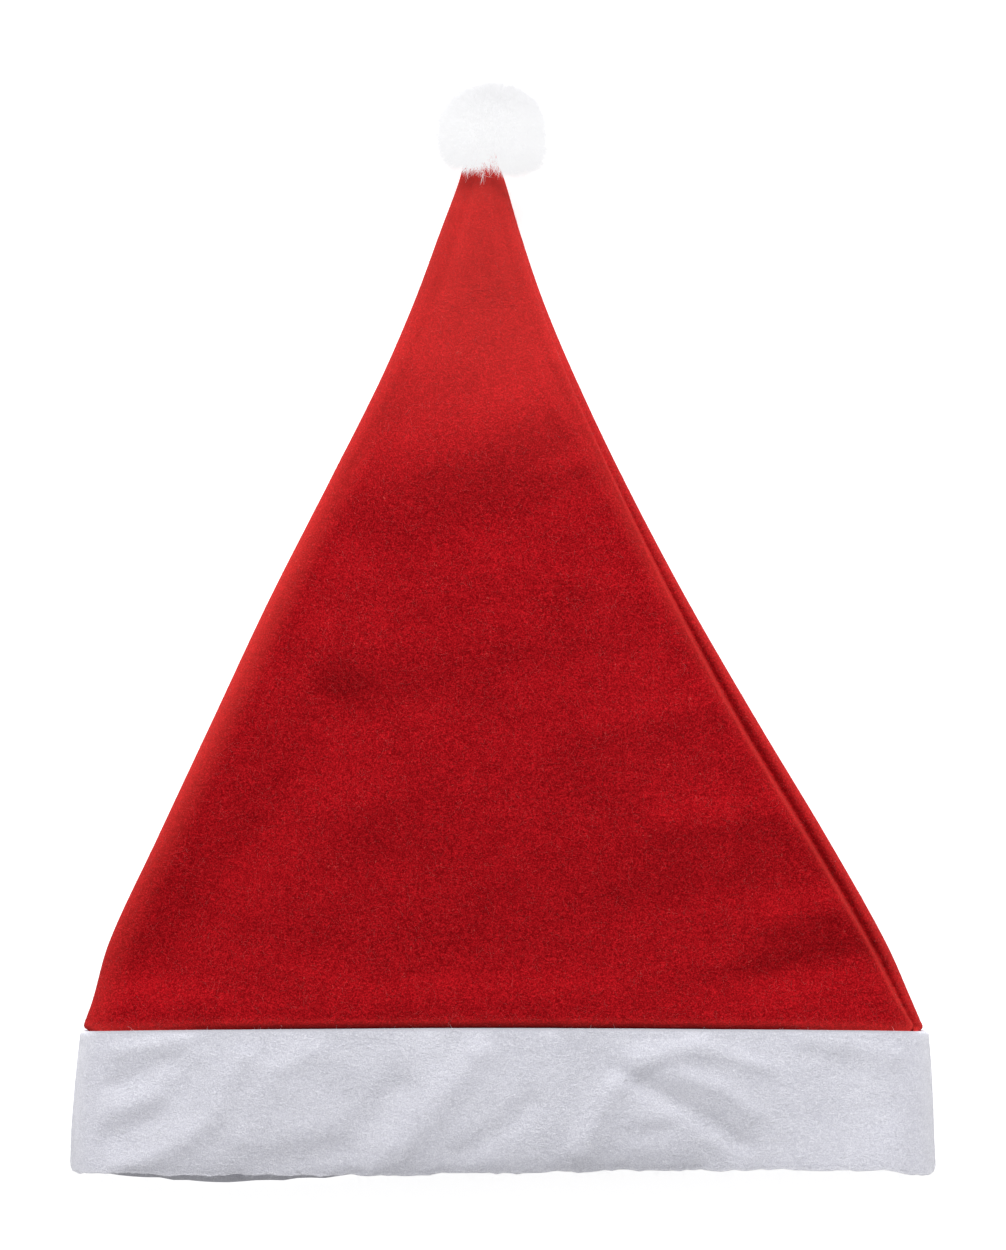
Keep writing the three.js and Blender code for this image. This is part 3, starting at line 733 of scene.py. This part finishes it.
def strands(name, roots, ways, bends, widths, material):
    """Fine tapered closed tubes: each starts at its root, goes its way and bends off it towards its end."""
    n = len(roots)
    at = np.arange(JOINTS) / JOINTS
    centres = roots[:, None] + ways[:, None] * at[:, None] + bends[:, None] * (at**2)[:, None]
    tips = roots + ways + bends
    unit = ways / np.linalg.norm(ways, axis=1, keepdims=True)
    helper = np.where(np.abs(unit[:, 2:]) < STEEP, [[0.0, 0.0, 1.0]], [[1.0, 0.0, 0.0]])
    across = np.cross(unit, helper)
    across /= np.linalg.norm(across, axis=1, keepdims=True)
    other = np.cross(unit, across)
    turn = 2 * math.pi * np.arange(SIDES) / SIDES
    radius = widths[:, None, None, None] / 2 * (1 - TAPER * at)[:, None, None]
    spoke = across[:, None, None] * np.cos(turn)[:, None] + other[:, None, None] * np.sin(turn)[:, None]
    tube = centres[:, :, None] + radius * spoke
    points = np.concatenate([tube.reshape(n, -1, 3), tips[:, None]], axis=1)
    each = JOINTS * SIDES + 1
    quads = []
    ends = [[2, 1, 0]]
    for j in range(JOINTS - 1):
        for i in range(SIDES):
            k = (i + 1) % SIDES
            quads.append([j * SIDES + i, j * SIDES + k, (j + 1) * SIDES + k, (j + 1) * SIDES + i])
    last = (JOINTS - 1) * SIDES
    for i in range(SIDES):
        ends.append([last + i, last + (i + 1) % SIDES, each - 1])
    start = (each * np.arange(n))[:, None, None]
    groups = [(start + np.array(faces)).reshape(-1, len(faces[0])) for faces in (quads, ends)]
    return make_object(name, points.reshape(-1, 3), groups, material)


# Finishes


def add(tree, kind, inputs, **settings):
    """A shader node with its settings, and its inputs linked or set."""
    node = tree.nodes.new(kind)
    for key, value in settings.items():
        setattr(node, key, value)
    for key, value in inputs.items():
        if isinstance(value, bpy.types.NodeSocket):
            tree.links.new(value, node.inputs[key])
        else:
            node.inputs[key].default_value = value
    return node


def new_material(name):
    """An empty material, its tree and the socket that gives places on the object."""
    material = bpy.data.materials.new(name)
    material.use_nodes = True
    tree = material.node_tree
    tree.nodes.clear()
    return material, tree, add(tree, "ShaderNodeTexCoord", {}).outputs["Object"]


def finish(tree, inputs):
    shader = add(tree, "ShaderNodeBsdfPrincipled", inputs)
    add(tree, "ShaderNodeOutputMaterial", {"Surface": shader.outputs["BSDF"]})


def noise(tree, place, size, detail=2.0, roughness=0.5, distortion=0.0):
    """Noise with features about one size across, from 0 to 1."""
    looks = {"Detail": detail, "Roughness": roughness, "Distortion": distortion}
    return add(tree, "ShaderNodeTexNoise", {"Vector": place, "Scale": 1 / size, **looks}).outputs["Fac"]


def maths(tree, operation, *values, **settings):
    return add(tree, "ShaderNodeMath", dict(enumerate(values)), operation=operation, **settings).outputs[0]


def ramp(tree, value, low, high, first, last, kind="LINEAR"):
    """Goes from a first to a last value as the input goes from low to high."""
    span = {"From Min": low, "From Max": high, "To Min": first, "To Max": last}
    made = add(tree, "ShaderNodeMapRange", {"Value": value, **span}, interpolation_type=kind)
    return made.outputs["Result"]


def stretched(tree, place, scale, angle=0.0):
    turned = {"Vector": place, "Rotation": Euler((0.0, 0.0, angle)), "Scale": scale}
    return add(tree, "ShaderNodeMapping", turned, vector_type="TEXTURE").outputs["Vector"]


def blend(tree, part, first, second):
    made = add(tree, "ShaderNodeMix", {"Factor": part}, data_type="RGBA", blend_type="MIX")
    for socket, value in (("A", first), ("B", second)):
        target = next(i for i in made.inputs if i.name == socket and i.type == "RGBA")
        if isinstance(value, bpy.types.NodeSocket):
            tree.links.new(value, target)
        else:
            target.default_value = (*value, 1.0)
    return next(o for o in made.outputs if o.type == "RGBA")


def total(tree, sockets, weights):
    """The weighted sum of the sockets that have a weight."""
    result = None
    for name, weight in weights.items():
        if result is None:
            result = maths(tree, "MULTIPLY", sockets[name], weight)
        else:
            result = maths(tree, "MULTIPLY_ADD", sockets[name], weight, result)
    return result


# Needled felt: sizes of its fibres, grain and clouds, how much each colours and lifts it, where the painted
# light that makes the crown paler towards the tip begins and ends, and how strongly the painted highlights
# and painted shade show
FIBRE_ANGLES = (0.35, 1.25, 2.1, 2.85)
COLOUR_WEIGHTS = {"fibres": 0.46, "grain": 0.8, "tufts": 0.04, "nap": 0.11, "clouds": 0.12}
RELIEF_WEIGHTS = {"fibres": 0.7, "grain": 0.38, "tufts": 0.2, "nap": 0.2}
FELT = SimpleNamespace(
    line_long=2.2 * MM,
    line_wide=0.36 * MM,
    line_edge=0.09,
    grain=0.58 * MM,
    tufts=2.4 * MM,
    clouds=16 * MM,
    nap=2.2 * MM,
    nap_stretch=3.5,
    thread=0.9 * MM,
    dark_below=0.55,
    light_above=0.95,
    pale_from=0.56,
    pale_to=0.95,
    pale=0.42,
    # how strongly the painted highlights and the painted shade show, and how dark the painted shade is
    lighted=0.36,
    painted_shade=0.7,
    shade_dark=0.45,
    fleck_from=0.7,
    fleck_to=0.78,
    fleck=0.35,
    relief=0.55,
    relief_depth=0.5 * MM,
    roughness=0.95,
    gloss=0.06,
    sheen_roughness=0.35,
)


def fibre_lines(tree, place, angle):
    """Thin bent ridges that run at an angle, as needled fibres lie."""
    turned = stretched(tree, place, (FELT.line_long, FELT.line_wide, FELT.line_wide), angle)
    field = noise(tree, turned, 1.0, 1.0, 0.4, 0.7)
    away = maths(tree, "ABSOLUTE", maths(tree, "SUBTRACT", field, 0.5))
    return ramp(tree, away, 0.0, FELT.line_edge, 1.0, 0.0, "SMOOTHSTEP")


def felt_material(name, deep, light, fleck, sheen, lighted, lit_tip):
    """Needled felt: matt mottled cloth with fine fibres lying every way over it, with painted highlights and
    painted shade blended into its colour.
    """
    material, tree, place = new_material(name)
    lines = {angle: fibre_lines(tree, place, angle) for angle in FIBRE_ANGLES}
    parts = {
        "fibres": total(tree, lines, dict.fromkeys(FIBRE_ANGLES, 1 / len(FIBRE_ANGLES))),
        "grain": noise(tree, place, FELT.grain, 2.0, 0.6),
        "tufts": noise(tree, place, FELT.tufts, 3.0, 0.55, 0.4),
        "nap": noise(tree, stretched(tree, place, (FELT.nap_stretch, 1.0, 1.0)), FELT.nap, 3.0, 0.55, 0.3),
        "clouds": noise(tree, place, FELT.clouds, 3.0, 0.5),
    }
    raised = total(tree, parts, COLOUR_WEIGHTS)
    base = blend(tree, ramp(tree, raised, FELT.dark_below, FELT.light_above, 0.0, 1.0), deep, light)
    if lit_tip:
        # painted light: the crown grows paler towards the tip, standing in for the stronger light and sheen
        # there
        along = add(tree, "ShaderNodeSeparateXYZ", {"Vector": place}).outputs["Y"]
        low, high = (SEAM_Y + at * CROWN_HEIGHT for at in (FELT.pale_from, FELT.pale_to))
        base = blend(tree, ramp(tree, along, low, high, 0.0, FELT.pale, "SMOOTHSTEP"), base, lighted)
    # painted highlight where the painted_light attribute is above 0, painted shade where it is below 0
    painted_light = add(tree, "ShaderNodeAttribute", {}, attribute_name="painted_light").outputs["Fac"]
    base = blend(tree, maths(tree, "MULTIPLY", painted_light, FELT.lighted), base, lighted)
    painted_shade = maths(tree, "MULTIPLY", painted_light, -FELT.painted_shade, use_clamp=True)
    base = blend(tree, painted_shade, base, tuple(FELT.shade_dark * part for part in deep))
    thread = noise(tree, place, FELT.thread, 1.0, 0.5, 2.0)
    rare = ramp(tree, thread, FELT.fleck_from, FELT.fleck_to, 0.0, FELT.fleck)
    relief = {
        "Height": total(tree, parts, RELIEF_WEIGHTS),
        "Strength": FELT.relief,
        "Distance": FELT.relief_depth,
    }
    finish(tree, {
        "Base Color": blend(tree, rare, base, fleck),
        "Roughness": FELT.roughness,
        "Specular IOR Level": FELT.gloss,
        "Sheen Weight": sheen,
        "Sheen Roughness": FELT.sheen_roughness,
        "Sheen Tint": (*fleck, 1.0),
        "Normal": add(tree, "ShaderNodeBump", relief).outputs["Normal"],
    })
    return material


FIBRE_FINISH = {"Roughness": 0.8, "Specular IOR Level": 0.2, "Sheen Weight": 0.2}
FIBRE_PATCH = 3 * MM


def strand_material(name, tint, dark):
    """Loose fibres, a little unlike each other from place to place."""
    material, tree, place = new_material(name)
    finish(tree, {"Base Color": blend(tree, noise(tree, place, FIBRE_PATCH), dark, tint), **FIBRE_FINISH})
    return material


# Fluff: its patches, how dark the dark ones are, and its painted glow, the light that it emits in dark and
# light patches and, dimmer, at its far end, which begins at a share of the pompom's length
FLUFF_FINISH = {"Roughness": 0.9, "Specular IOR Level": 0.05, "Sheen Weight": 0.1}
FLUFF = SimpleNamespace(
    patch=3.5 * MM,
    dark=0.9,
    glow_dark=(0.95, 0.95, 0.97),
    glow_light=(1.0, 1.0, 1.0),
    glow_far=(0.87, 0.87, 0.885),
    far_from=0.45,
)


def fluff_material(name, tint, glow):
    """Soft fluff, dark in itself, whose white is mostly a painted glow: it emits light, less at its far end.
    """
    material, tree, place = new_material(name)
    tufts = noise(tree, place, FLUFF.patch)
    along = add(tree, "ShaderNodeSeparateXYZ", {"Vector": place}).outputs["Y"]
    near, end = mix(POMPOM_LOW[1], POMPOM_HIGH[1], FLUFF.far_from), POMPOM_HIGH[1]
    far = ramp(tree, along, near, end, 0.0, 1.0, "SMOOTHSTEP")
    glow_colour = blend(tree, tufts, FLUFF.glow_dark, FLUFF.glow_light)
    finish(tree, {
        "Base Color": blend(tree, tufts, tuple(FLUFF.dark * part for part in tint), tint),
        # painted glow, dimmer at the far end where the lamp lights the fluff most
        "Emission Color": blend(tree, far, glow_colour, FLUFF.glow_far),
        "Emission Strength": glow,
        **FLUFF_FINISH,
    })
    return material


FLOOR_FINISH = {"Roughness": 0.9, "Specular IOR Level": 0.1}


def floor_material(name, tint, glow):
    """Pale lit paper."""
    material, tree, _ = new_material(name)
    light = {"Emission Color": (1.0, 1.0, 1.0, 1.0), "Emission Strength": glow}
    finish(tree, {"Base Color": (*tint, 1.0), **light, **FLOOR_FINISH})
    return material


def settle(piece, slot, *nodes):
    """The piece rides on the hat and stands for the solids named, which it hides; the slot is not used."""
    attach(piece, "root")
    if nodes:
        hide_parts(*nodes)


# Pieces

# Rings along each stretch of the crown and the band
CROWN_ROWS = SimpleNamespace(tuck=7, settling=26, body=235, tip=7, inner_tuck=5, inner_body=70)
BAND_ROWS = SimpleNamespace(single=52, turn=9, doubled=8, inner=18)


class HAT_OT_crown(bpy.types.Operator):
    """Builds the red felt crown: folded on the left, sewn on the right and tucked into the band"""

    bl_idname = "hat.crown"
    bl_label = "Build crown"

    def execute(self, context):
        form, seam, look = context.scene.hat_form, context.scene.hat_seam, context.scene.hat_felt
        tip = CROWN_HEIGHT - form.tip_wall
        outside = np.concatenate([
            np.linspace(-form.crown_tuck, 0, CROWN_ROWS.tuck),
            np.linspace(0, form.settle_length, CROWN_ROWS.settling)[1:],
            np.linspace(form.settle_length, tip, CROWN_ROWS.body)[1:],
            np.linspace(tip, CROWN_HEIGHT, CROWN_ROWS.tip)[1:],
        ])
        inside = np.concatenate([
            np.linspace(-form.crown_tuck, 0, CROWN_ROWS.inner_tuck),
            np.linspace(0, tip, CROWN_ROWS.inner_body)[1:],
        ])
        rows = np.concatenate([
            crown_rings(form, seam, inside, True)[::-1],
            crown_rings(form, seam, outside, False),
        ])
        points, faces = skin(rows, True)
        felt = felt_material(
            "red_felt", look.red, look.red_light, look.red_fleck, look.red_sheen, look.red_highlight, True
        )
        painted_light = np.append(crown_light_paint(form, seam, rows).ravel(), [0.0, 0.0])
        piece = make_object("felt_crown", in_row(points), faces, felt, painted_light)
        settle(piece, "red_felt", "crown")
        return {"FINISHED"}


class HAT_OT_band(bpy.types.Operator):
    """Builds the white felt band, turned in at its seam and cut raw at the mouth"""

    bl_idname = "hat.band"
    bl_label = "Build band"

    def execute(self, context):
        form, seam, look = context.scene.hat_form, context.scene.hat_seam, context.scene.hat_felt
        cut = -form.band_height
        single = np.append(cut, np.linspace(cut + EDGE.rim, -form.band_turn, BAND_ROWS.single))
        doubled = np.linspace(form.band_turn, form.felt, BAND_ROWS.doubled)[1:-1]
        loop = [(y, 0.0) for y in single]
        loop += [(-y, 0.0) for y in doubled]
        for angle in np.linspace(0, math.pi, BAND_ROWS.turn):
            loop.append((form.felt * (math.sin(angle) - 1), form.felt * (1 - math.cos(angle))))
        loop += [(-form.band_turn, 2 * form.felt), (-form.band_turn, form.felt)]
        loop += [(y, form.felt) for y in np.linspace(-form.band_turn, cut, BAND_ROWS.inner)]
        y = np.array([place for place, _ in loop])
        insets = np.array([inset for _, inset in loop])

        def set_in(from_seam, narrow, at):
            return insets[:, None] + 0 * from_seam

        rows = rings(form, seam, band_section(form, seam, y), set_in, band_wander(form, seam))
        points, faces = skin(rows, False)
        felt = felt_material(
            "white_felt", look.white, look.white_light, look.white_fleck, look.white_sheen,
            look.white_highlight, False
        )
        piece = make_object("felt_band", in_row(points), faces, felt, band_light_paint(form, seam, rows, y, insets))
        settle(piece, "white_felt", "band")
        return {"FINISHED"}


# Loose fibres: the grids that they are strewn on, their share of the full length and how few are long,
# how they lean, bend, press down again and sink in, and their share of the full width
STREWN = SimpleNamespace(
    first=1 * MM,
    crown_rows=150,
    band_rows=40,
    size=(0.35, 1.25),
    size_power=1.3,
    lean=(0.04, 0.3),
    bend=0.3,
    press=0.9,
    sink=0.3,
    width=(0.6, 1.2),
)


class HAT_OT_fibres(bpy.types.Operator):
    """Strews loose fibres over the felt of the crown and the band"""

    bl_idname = "hat.fibres"
    bl_label = "Strew felt fibres"

    def strew(self, name, points, count, look, material, seed):
        """Fibres on a grid of points whose rows follow the hat and whose columns go round it."""
        rng = np.random.default_rng(seed)
        rows, around = points.shape[0] - 1, points.shape[1] - 1
        span = np.linalg.norm(np.diff(points[:-1], axis=1), axis=-1)
        tall = np.linalg.norm(np.diff(points[:, :-1], axis=0), axis=-1)
        area = span * tall
        area[0] *= look.edge_fuzz
        odds = area.ravel()
        pick = rng.choice(rows * around, count, p=odds / odds.sum())
        j, i = pick // around, pick % around
        u, v = rng.uniform(size=(2, count, 1))
        corner = points[j, i]
        right, up = points[j, i + 1] - corner, points[j + 1, i] - corner
        normal = np.cross(up, right)
        normal /= np.linalg.norm(normal, axis=1, keepdims=True)
        outward = np.where(normal[:, 2:] < 0, -normal, normal)
        along = right / np.linalg.norm(right, axis=1, keepdims=True)
        beside = np.cross(outward, along)
        heading = rng.uniform(0, 2 * math.pi, (count, 1))
        tangent = along * np.cos(heading) + beside * np.sin(heading)
        sideways = np.cross(outward, tangent)
        size = look.fibre_length * rng.uniform(*STREWN.size, (count, 1)) ** STREWN.size_power
        lean = rng.uniform(*STREWN.lean, (count, 1))
        ways = size * (tangent + outward * lean)
        bends = size * (rng.normal(0, STREWN.bend, (count, 1)) * sideways - outward * lean * STREWN.press)
        roots = corner + right * u + up * v - outward * look.fibre_width * STREWN.sink
        widths = look.fibre_width * rng.uniform(*STREWN.width, count)
        return strands(name, in_row(roots), ways, bends, widths, material)

    def execute(self, context):
        form, seam, look = context.scene.hat_form, context.scene.hat_seam, context.scene.hat_felt
        shown = RING_KNOTS.start + RING_KNOTS.groove + RING_KNOTS.beside + RING_KNOTS.top + RING_KNOTS.fold
        places = np.linspace(STREWN.first, CROWN_HEIGHT - form.tip_depth, STREWN.crown_rows)
        red = strand_material("red_fibre", look.red_fibre, look.red_fibre_deep)
        crown = crown_rings(form, seam, places, False)[:, :shown]
        piece = self.strew("crown_fibres", crown, look.crown_fibres, look, red, look.seed)
        settle(piece, "red_felt")
        white = strand_material("white_fibre", look.white_fibre, look.white_fibre_deep)
        section = band_section(form, seam, np.linspace(-form.band_height, -form.felt, STREWN.band_rows))
        band = rings(form, seam, section, lambda d, n, at: 0 * d, band_wander(form, seam))[:, :shown]
        piece = self.strew("band_fibres", band, look.band_fibres, look, white, look.seed + 1)
        settle(piece, "white_felt")
        return {"FINISHED"}


# The pompom's layers of strands, as shares of its half size, from the inner ends to the outer ones. Then
# its core, the room round the tip, the strands' shares and lie, how round or square the ball is on each
# side, the core's lumps and the bare patch over the tip.
LAYERS = ((0.62, 0.88), (0.66, 0.96), (0.72, 1.0))
BALL = SimpleNamespace(
    core=0.7,
    tip_room=1.2 * MM,
    tip_end=0.6 * MM,
    tried=7,
    lock=(0.93, 1.02),
    gather=(0.0, 0.3),
    start=(0.9, 1.1),
    end=(0.92, 1.02),
    stray=1.5 * MM,
    end_above=0.3 * MM,
    start_above=0.6 * MM,
    bend=0.3,
    width=(0.6, 1.3),
    round=2.0,
    square_left=3.0,
    square_right=4.6,
    least=1e-6,
    lump=0.05,
    lump_size=0.3,
    bare_width=0.95,
    bare_past=3.5 * MM,
    bare_over=6 * MM,
    patch=0.6,
    patch_size=1.7 * MM,
)

# The wisps over the tip: how far down it they lie, where they are dense, how they point and curl
WISPS = SimpleNamespace(
    lowest=10 * MM,
    low_power=1.3,
    past_tip=0.6 * MM,
    patch=0.8,
    patch_size=2.3 * MM,
    fine_patch=0.6,
    fine_patch_size=1.1 * MM,
    dense=1.5,
    fade=4.2 * MM,
    side_fade=2.8,
    aside=0.1,
    draw=(-0.5, 0.9),
    dome=0.3,
    dome_power=2.5,
    above=0.3 * MM,
    scatter=0.8,
    size=(1.2 * MM, 4.2 * MM),
    lift=(0.2, 0.5),
    curl=0.35,
    sink=0.8,
    thin=0.75,
    width=(0.5, 1.1),
)


class HAT_OT_pompom(bpy.types.Operator):
    """Builds the pompom: a core hidden in layers of white fluff gathered into soft locks"""

    bl_idname = "hat.pompom"
    bl_label = "Build pompom"

    def execute(self, context):
        form, seam, look = context.scene.hat_form, context.scene.hat_seam, context.scene.hat_pompom
        middle = pompom_middle()
        half = (POMPOM_HIGH - POMPOM_LOW) / 2 + look.overhang
        rng = np.random.default_rng(look.seed)
        fluff = fluff_material("white_fluff", look.fluff, look.glow)
        self.core(middle, BALL.core * half, fluff)
        tip = crown_section(form, seam, np.array([CROWN_HEIGHT]))
        tip_middle = np.array([
            (tip.left[0] + tip.right[0]) / 2,
            CROWN_HEIGHT + SEAM_Y,
            tip.lift[0] + tip.height[0] / 2,
        ])
        room = np.array([(tip.right[0] - tip.left[0]) / 2, 0.0, tip.height[0] / 2]) + BALL.tip_room
        locks = self.directions(look.locks, rng)
        reaches = rng.uniform(*BALL.lock, look.locks)
        for layer, (inner, outer) in enumerate(LAYERS):
            way = self.directions(look.strands, rng)
            lock = np.argmax(way @ locks.T, axis=1)
            gathered = mix(way, locks[lock], rng.uniform(*BALL.gather, (look.strands, 1)))
            gathered /= np.linalg.norm(gathered, axis=1, keepdims=True)
            begin = rng.uniform(*BALL.start, (look.strands, 1))
            start = way * self.reach(way) * half * inner * begin
            reach = outer * reaches[lock] * rng.uniform(*BALL.end, look.strands)
            end = gathered * self.reach(gathered) * half * reach[:, None]
            sideways = rng.normal(0, BALL.stray, end.shape)
            end += sideways - gathered * np.sum(sideways * gathered, axis=1, keepdims=True)
            end[:, 2] = np.maximum(end[:, 2], BALL.end_above - middle[2])
            start[:, 2] = np.maximum(start[:, 2], BALL.start_above - middle[2])
            bend = BALL.bend * np.cross(end - start, rng.normal(0, 1, end.shape))
            roots, ways = middle + start, end - start - bend
            clear = self.clear_of_tip(roots, ways, bend, tip_middle, room)
            clear &= rng.uniform(size=len(roots)) > self.thinned(roots, tip_middle, room, look)
            widths = look.strand_width * rng.uniform(*BALL.width, look.strands)
            name = f"pompom_fluff_{layer + 1}"
            settle(strands(name, roots[clear], ways[clear], bend[clear], widths[clear], fluff), "white_fluff")
        self.wisps(form, seam, look, rng, fluff)
        return {"FINISHED"}

    def thinned(self, roots, tip_middle, room, look):
        """Share of the fluff that is missing where the red tip shows through it."""
        aside = bell((roots[:, 0] - tip_middle[0]) / (BALL.bare_width * room[0]))
        below = smooth((tip_middle[1] + BALL.bare_past - roots[:, 1]) / BALL.bare_over)
        patches = 1 + BALL.patch * soft_noise(roots[:, 0], roots[:, 1], BALL.patch_size, SEEDS.thin)
        return look.bare * aside * below * patches * (roots[:, 2] > tip_middle[2])

    def reach(self, way):
        """How far the fluff reaches each way: a ball at the far end, squarer where it meets the tip."""
        near = np.where(way[:, :1] > 0, BALL.square_right, BALL.square_left)
        power = np.where(way[:, 1:2] < 0, near, BALL.round)
        plan = np.hypot(way[:, :1], way[:, 1:2])
        flat = np.abs(way[:, :2]) / np.maximum(plan, BALL.least)
        square = 1 / np.sum(flat**power, axis=1, keepdims=True) ** (1 / power)
        return mix(1.0, square, plan**2)

    def wisps(self, form, seam, look, rng, material):
        """Thin loose wisps that lie from the pompom over the front of the red tip."""
        below = WISPS.lowest * rng.uniform(0, 1, look.wisps) ** WISPS.low_power
        along = CROWN_HEIGHT + WISPS.past_tip - below
        section = crown_section(form, seam, np.minimum(along, CROWN_HEIGHT))
        part = rng.uniform(-0.5, 0.5, look.wisps)
        across = (section.left + section.right) / 2 + (section.right - section.left) * part
        patches = soft_noise(across, along, WISPS.patch_size, SEEDS.wisps)
        fine = soft_noise(along, across, WISPS.fine_patch_size, SEEDS.fine_wisps)
        odds = WISPS.patch * (patches + WISPS.fine_patch * fine) + WISPS.dense
        odds -= below / WISPS.fade + WISPS.side_fade * np.abs(part + WISPS.aside)
        kept = odds > rng.uniform(*WISPS.draw, look.wisps)
        along, across, section = along[kept], across[kept], crown_section(form, seam, along[kept])
        count = len(along)
        dome = section.height * WISPS.dome * (2 * np.abs(part[kept])) ** WISPS.dome_power
        top = section.lift + section.height + WISPS.above
        roots = np.stack([across, along + SEAM_Y, top - dome], axis=1)
        heading = rng.normal(-math.pi / 2, WISPS.scatter, count)
        size = rng.uniform(*WISPS.size, count)
        flat = size[:, None] * np.stack([np.cos(heading), np.sin(heading), np.zeros(count)], axis=1)
        lift = rng.uniform(*WISPS.lift, count) * size
        ways = flat + np.stack([0 * lift, 0 * lift, lift], axis=1)
        bends = np.cross(flat, [[0.0, 0.0, 1.0]]) * rng.normal(0, WISPS.curl, (count, 1))
        bends[:, 2] -= WISPS.sink * lift
        widths = WISPS.thin * look.strand_width * rng.uniform(*WISPS.width, count)
        settle(strands("pompom_wisps", roots, ways, bends, widths, material), "white_fluff")

    def directions(self, count, rng):
        made = rng.normal(size=(count, 3))
        return made / np.linalg.norm(made, axis=1, keepdims=True)

    def clear_of_tip(self, roots, ways, bends, tip_middle, room):
        """Which strands keep out of the room that the crown's tip takes."""
        clear = np.ones(len(roots), dtype=bool)
        for at in np.linspace(0, 1, BALL.tried):
            point = roots + ways * at + bends * at * at
            off = np.abs(point - tip_middle)
            before_end = point[:, 1] < tip_middle[1] + BALL.tip_end
            clear &= ~((off[:, 0] < room[0]) & (off[:, 2] < room[2]) & before_end)
        return clear

    def core(self, middle, half, material):
        bpy.ops.mesh.primitive_ico_sphere_add(subdivisions=5, radius=1.0)
        piece = bpy.context.object
        piece.name = "pompom_core"
        points = np.empty(len(piece.data.vertices) * 3)
        piece.data.vertices.foreach_get("co", points)
        points = points.reshape(-1, 3)
        x, y, z = points.T
        lumps = 1 + BALL.lump * soft_noise(x + z, y - z, BALL.lump_size, SEEDS.core)
        placed = middle + points * half * lumps[:, None]
        placed[:, 1] = np.maximum(placed[:, 1], CROWN_HEIGHT + SEAM_Y + 2 * CLEARANCE)
        piece.data.vertices.foreach_set("co", placed.ravel())
        piece.data.materials.append(material)
        piece.data.polygons.foreach_set("use_smooth", np.ones(len(piece.data.polygons), dtype=bool))
        piece.data.update()
        settle(piece, "white_fluff", "pompom")


# The stage, and the share of the crown's height at which its front is measured
FLOOR_SIZE = 8.0
FLOOR_DROP = 0.02 * MM
KEY_PLACE = (0.0, 1.3, 0.8)
SENSOR_HEIGHT = 24.0
FRONT_AT = 0.8


class HAT_OT_stage(bpy.types.Operator):
    """Sets the pale floor, the soft light and the camera straight above"""

    bl_idname = "hat.stage"
    bl_label = "Set the stage"

    def execute(self, context):
        look = context.scene.hat_stage
        bpy.ops.mesh.primitive_plane_add(size=FLOOR_SIZE, location=(0.0, 0.0, -FLOOR_DROP))
        floor = bpy.context.object
        floor.name = "floor"
        floor.data.materials.append(floor_material("floor_paper", look.floor, look.glow))
        self.key_light(context, look)
        world = bpy.data.worlds.new("soft_sky")
        world.use_nodes = True
        sky = world.node_tree.nodes["Background"]
        sky.inputs["Color"].default_value = (1.0, 1.0, 1.0, 1.0)
        sky.inputs["Strength"].default_value = look.sky
        context.scene.world = world
        context.scene.view_settings.view_transform = "Standard"
        self.camera(context, look)
        return {"FINISHED"}

    def key_light(self, context, look):
        data = bpy.data.lights.new("key_light", "AREA")
        data.shape = "SQUARE"
        data.size = look.key_size
        data.energy = look.key_power
        light = bpy.data.objects.new("key_light", data)
        light.location = KEY_PLACE
        light.rotation_euler = (-Vector(KEY_PLACE)).to_track_quat("-Z", "Y").to_euler()
        context.scene.collection.objects.link(light)

    def camera(self, context, look):
        data = bpy.data.cameras.new("camera")
        data.type = "PERSP"
        data.sensor_fit = "VERTICAL"
        data.sensor_height = SENSOR_HEIGHT
        front = FRONT_AT * CROWN_HIGH[2]
        data.lens = data.sensor_height * (look.camera_height - front) / look.frame_height
        camera = bpy.data.objects.new("camera", data)
        camera.location = (0.0, SEAM_Y + look.camera_along, look.camera_height)
        context.scene.collection.objects.link(camera)
        context.scene.camera = camera


class HAT_PT_panel(bpy.types.Panel):
    """Lists the hat's pieces and their sizes and colours"""

    bl_idname = "HAT_PT_panel"
    bl_label = "Felt Party Hat"
    bl_space_type = "VIEW_3D"
    bl_region_type = "UI"
    bl_category = "Felt Hat"

    def draw(self, context):
        for operator in OPERATORS:
            self.layout.operator(operator.bl_idname)
        for owner in GROUPS:
            group = getattr(context.scene, owner)
            box = self.layout.box()
            for name in group.__annotations__:
                box.prop(group, name)


GROUPS = {
    "hat_form": HatForm,
    "hat_seam": SeamForm,
    "hat_felt": FeltLook,
    "hat_pompom": PompomLook,
    "hat_stage": StageLook,
}
OPERATORS = (HAT_OT_stage, HAT_OT_crown, HAT_OT_band, HAT_OT_fibres, HAT_OT_pompom)


def register():
    for group in GROUPS.values():
        bpy.utils.register_class(group)
    for owner, group in GROUPS.items():
        setattr(bpy.types.Scene, owner, bpy.props.PointerProperty(type=group))
    for made in (*OPERATORS, HAT_PT_panel):
        bpy.utils.register_class(made)


def unregister():
    for made in (HAT_PT_panel, *reversed(OPERATORS)):
        bpy.utils.unregister_class(made)
    for owner, group in GROUPS.items():
        delattr(bpy.types.Scene, owner)
        bpy.utils.unregister_class(group)


def main():
    register()
    bpy.ops.hat.stage()
    bpy.ops.hat.crown()
    bpy.ops.hat.band()
    bpy.ops.hat.fibres()
    bpy.ops.hat.pompom()
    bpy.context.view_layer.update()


if __name__ == "__main__":
    main()
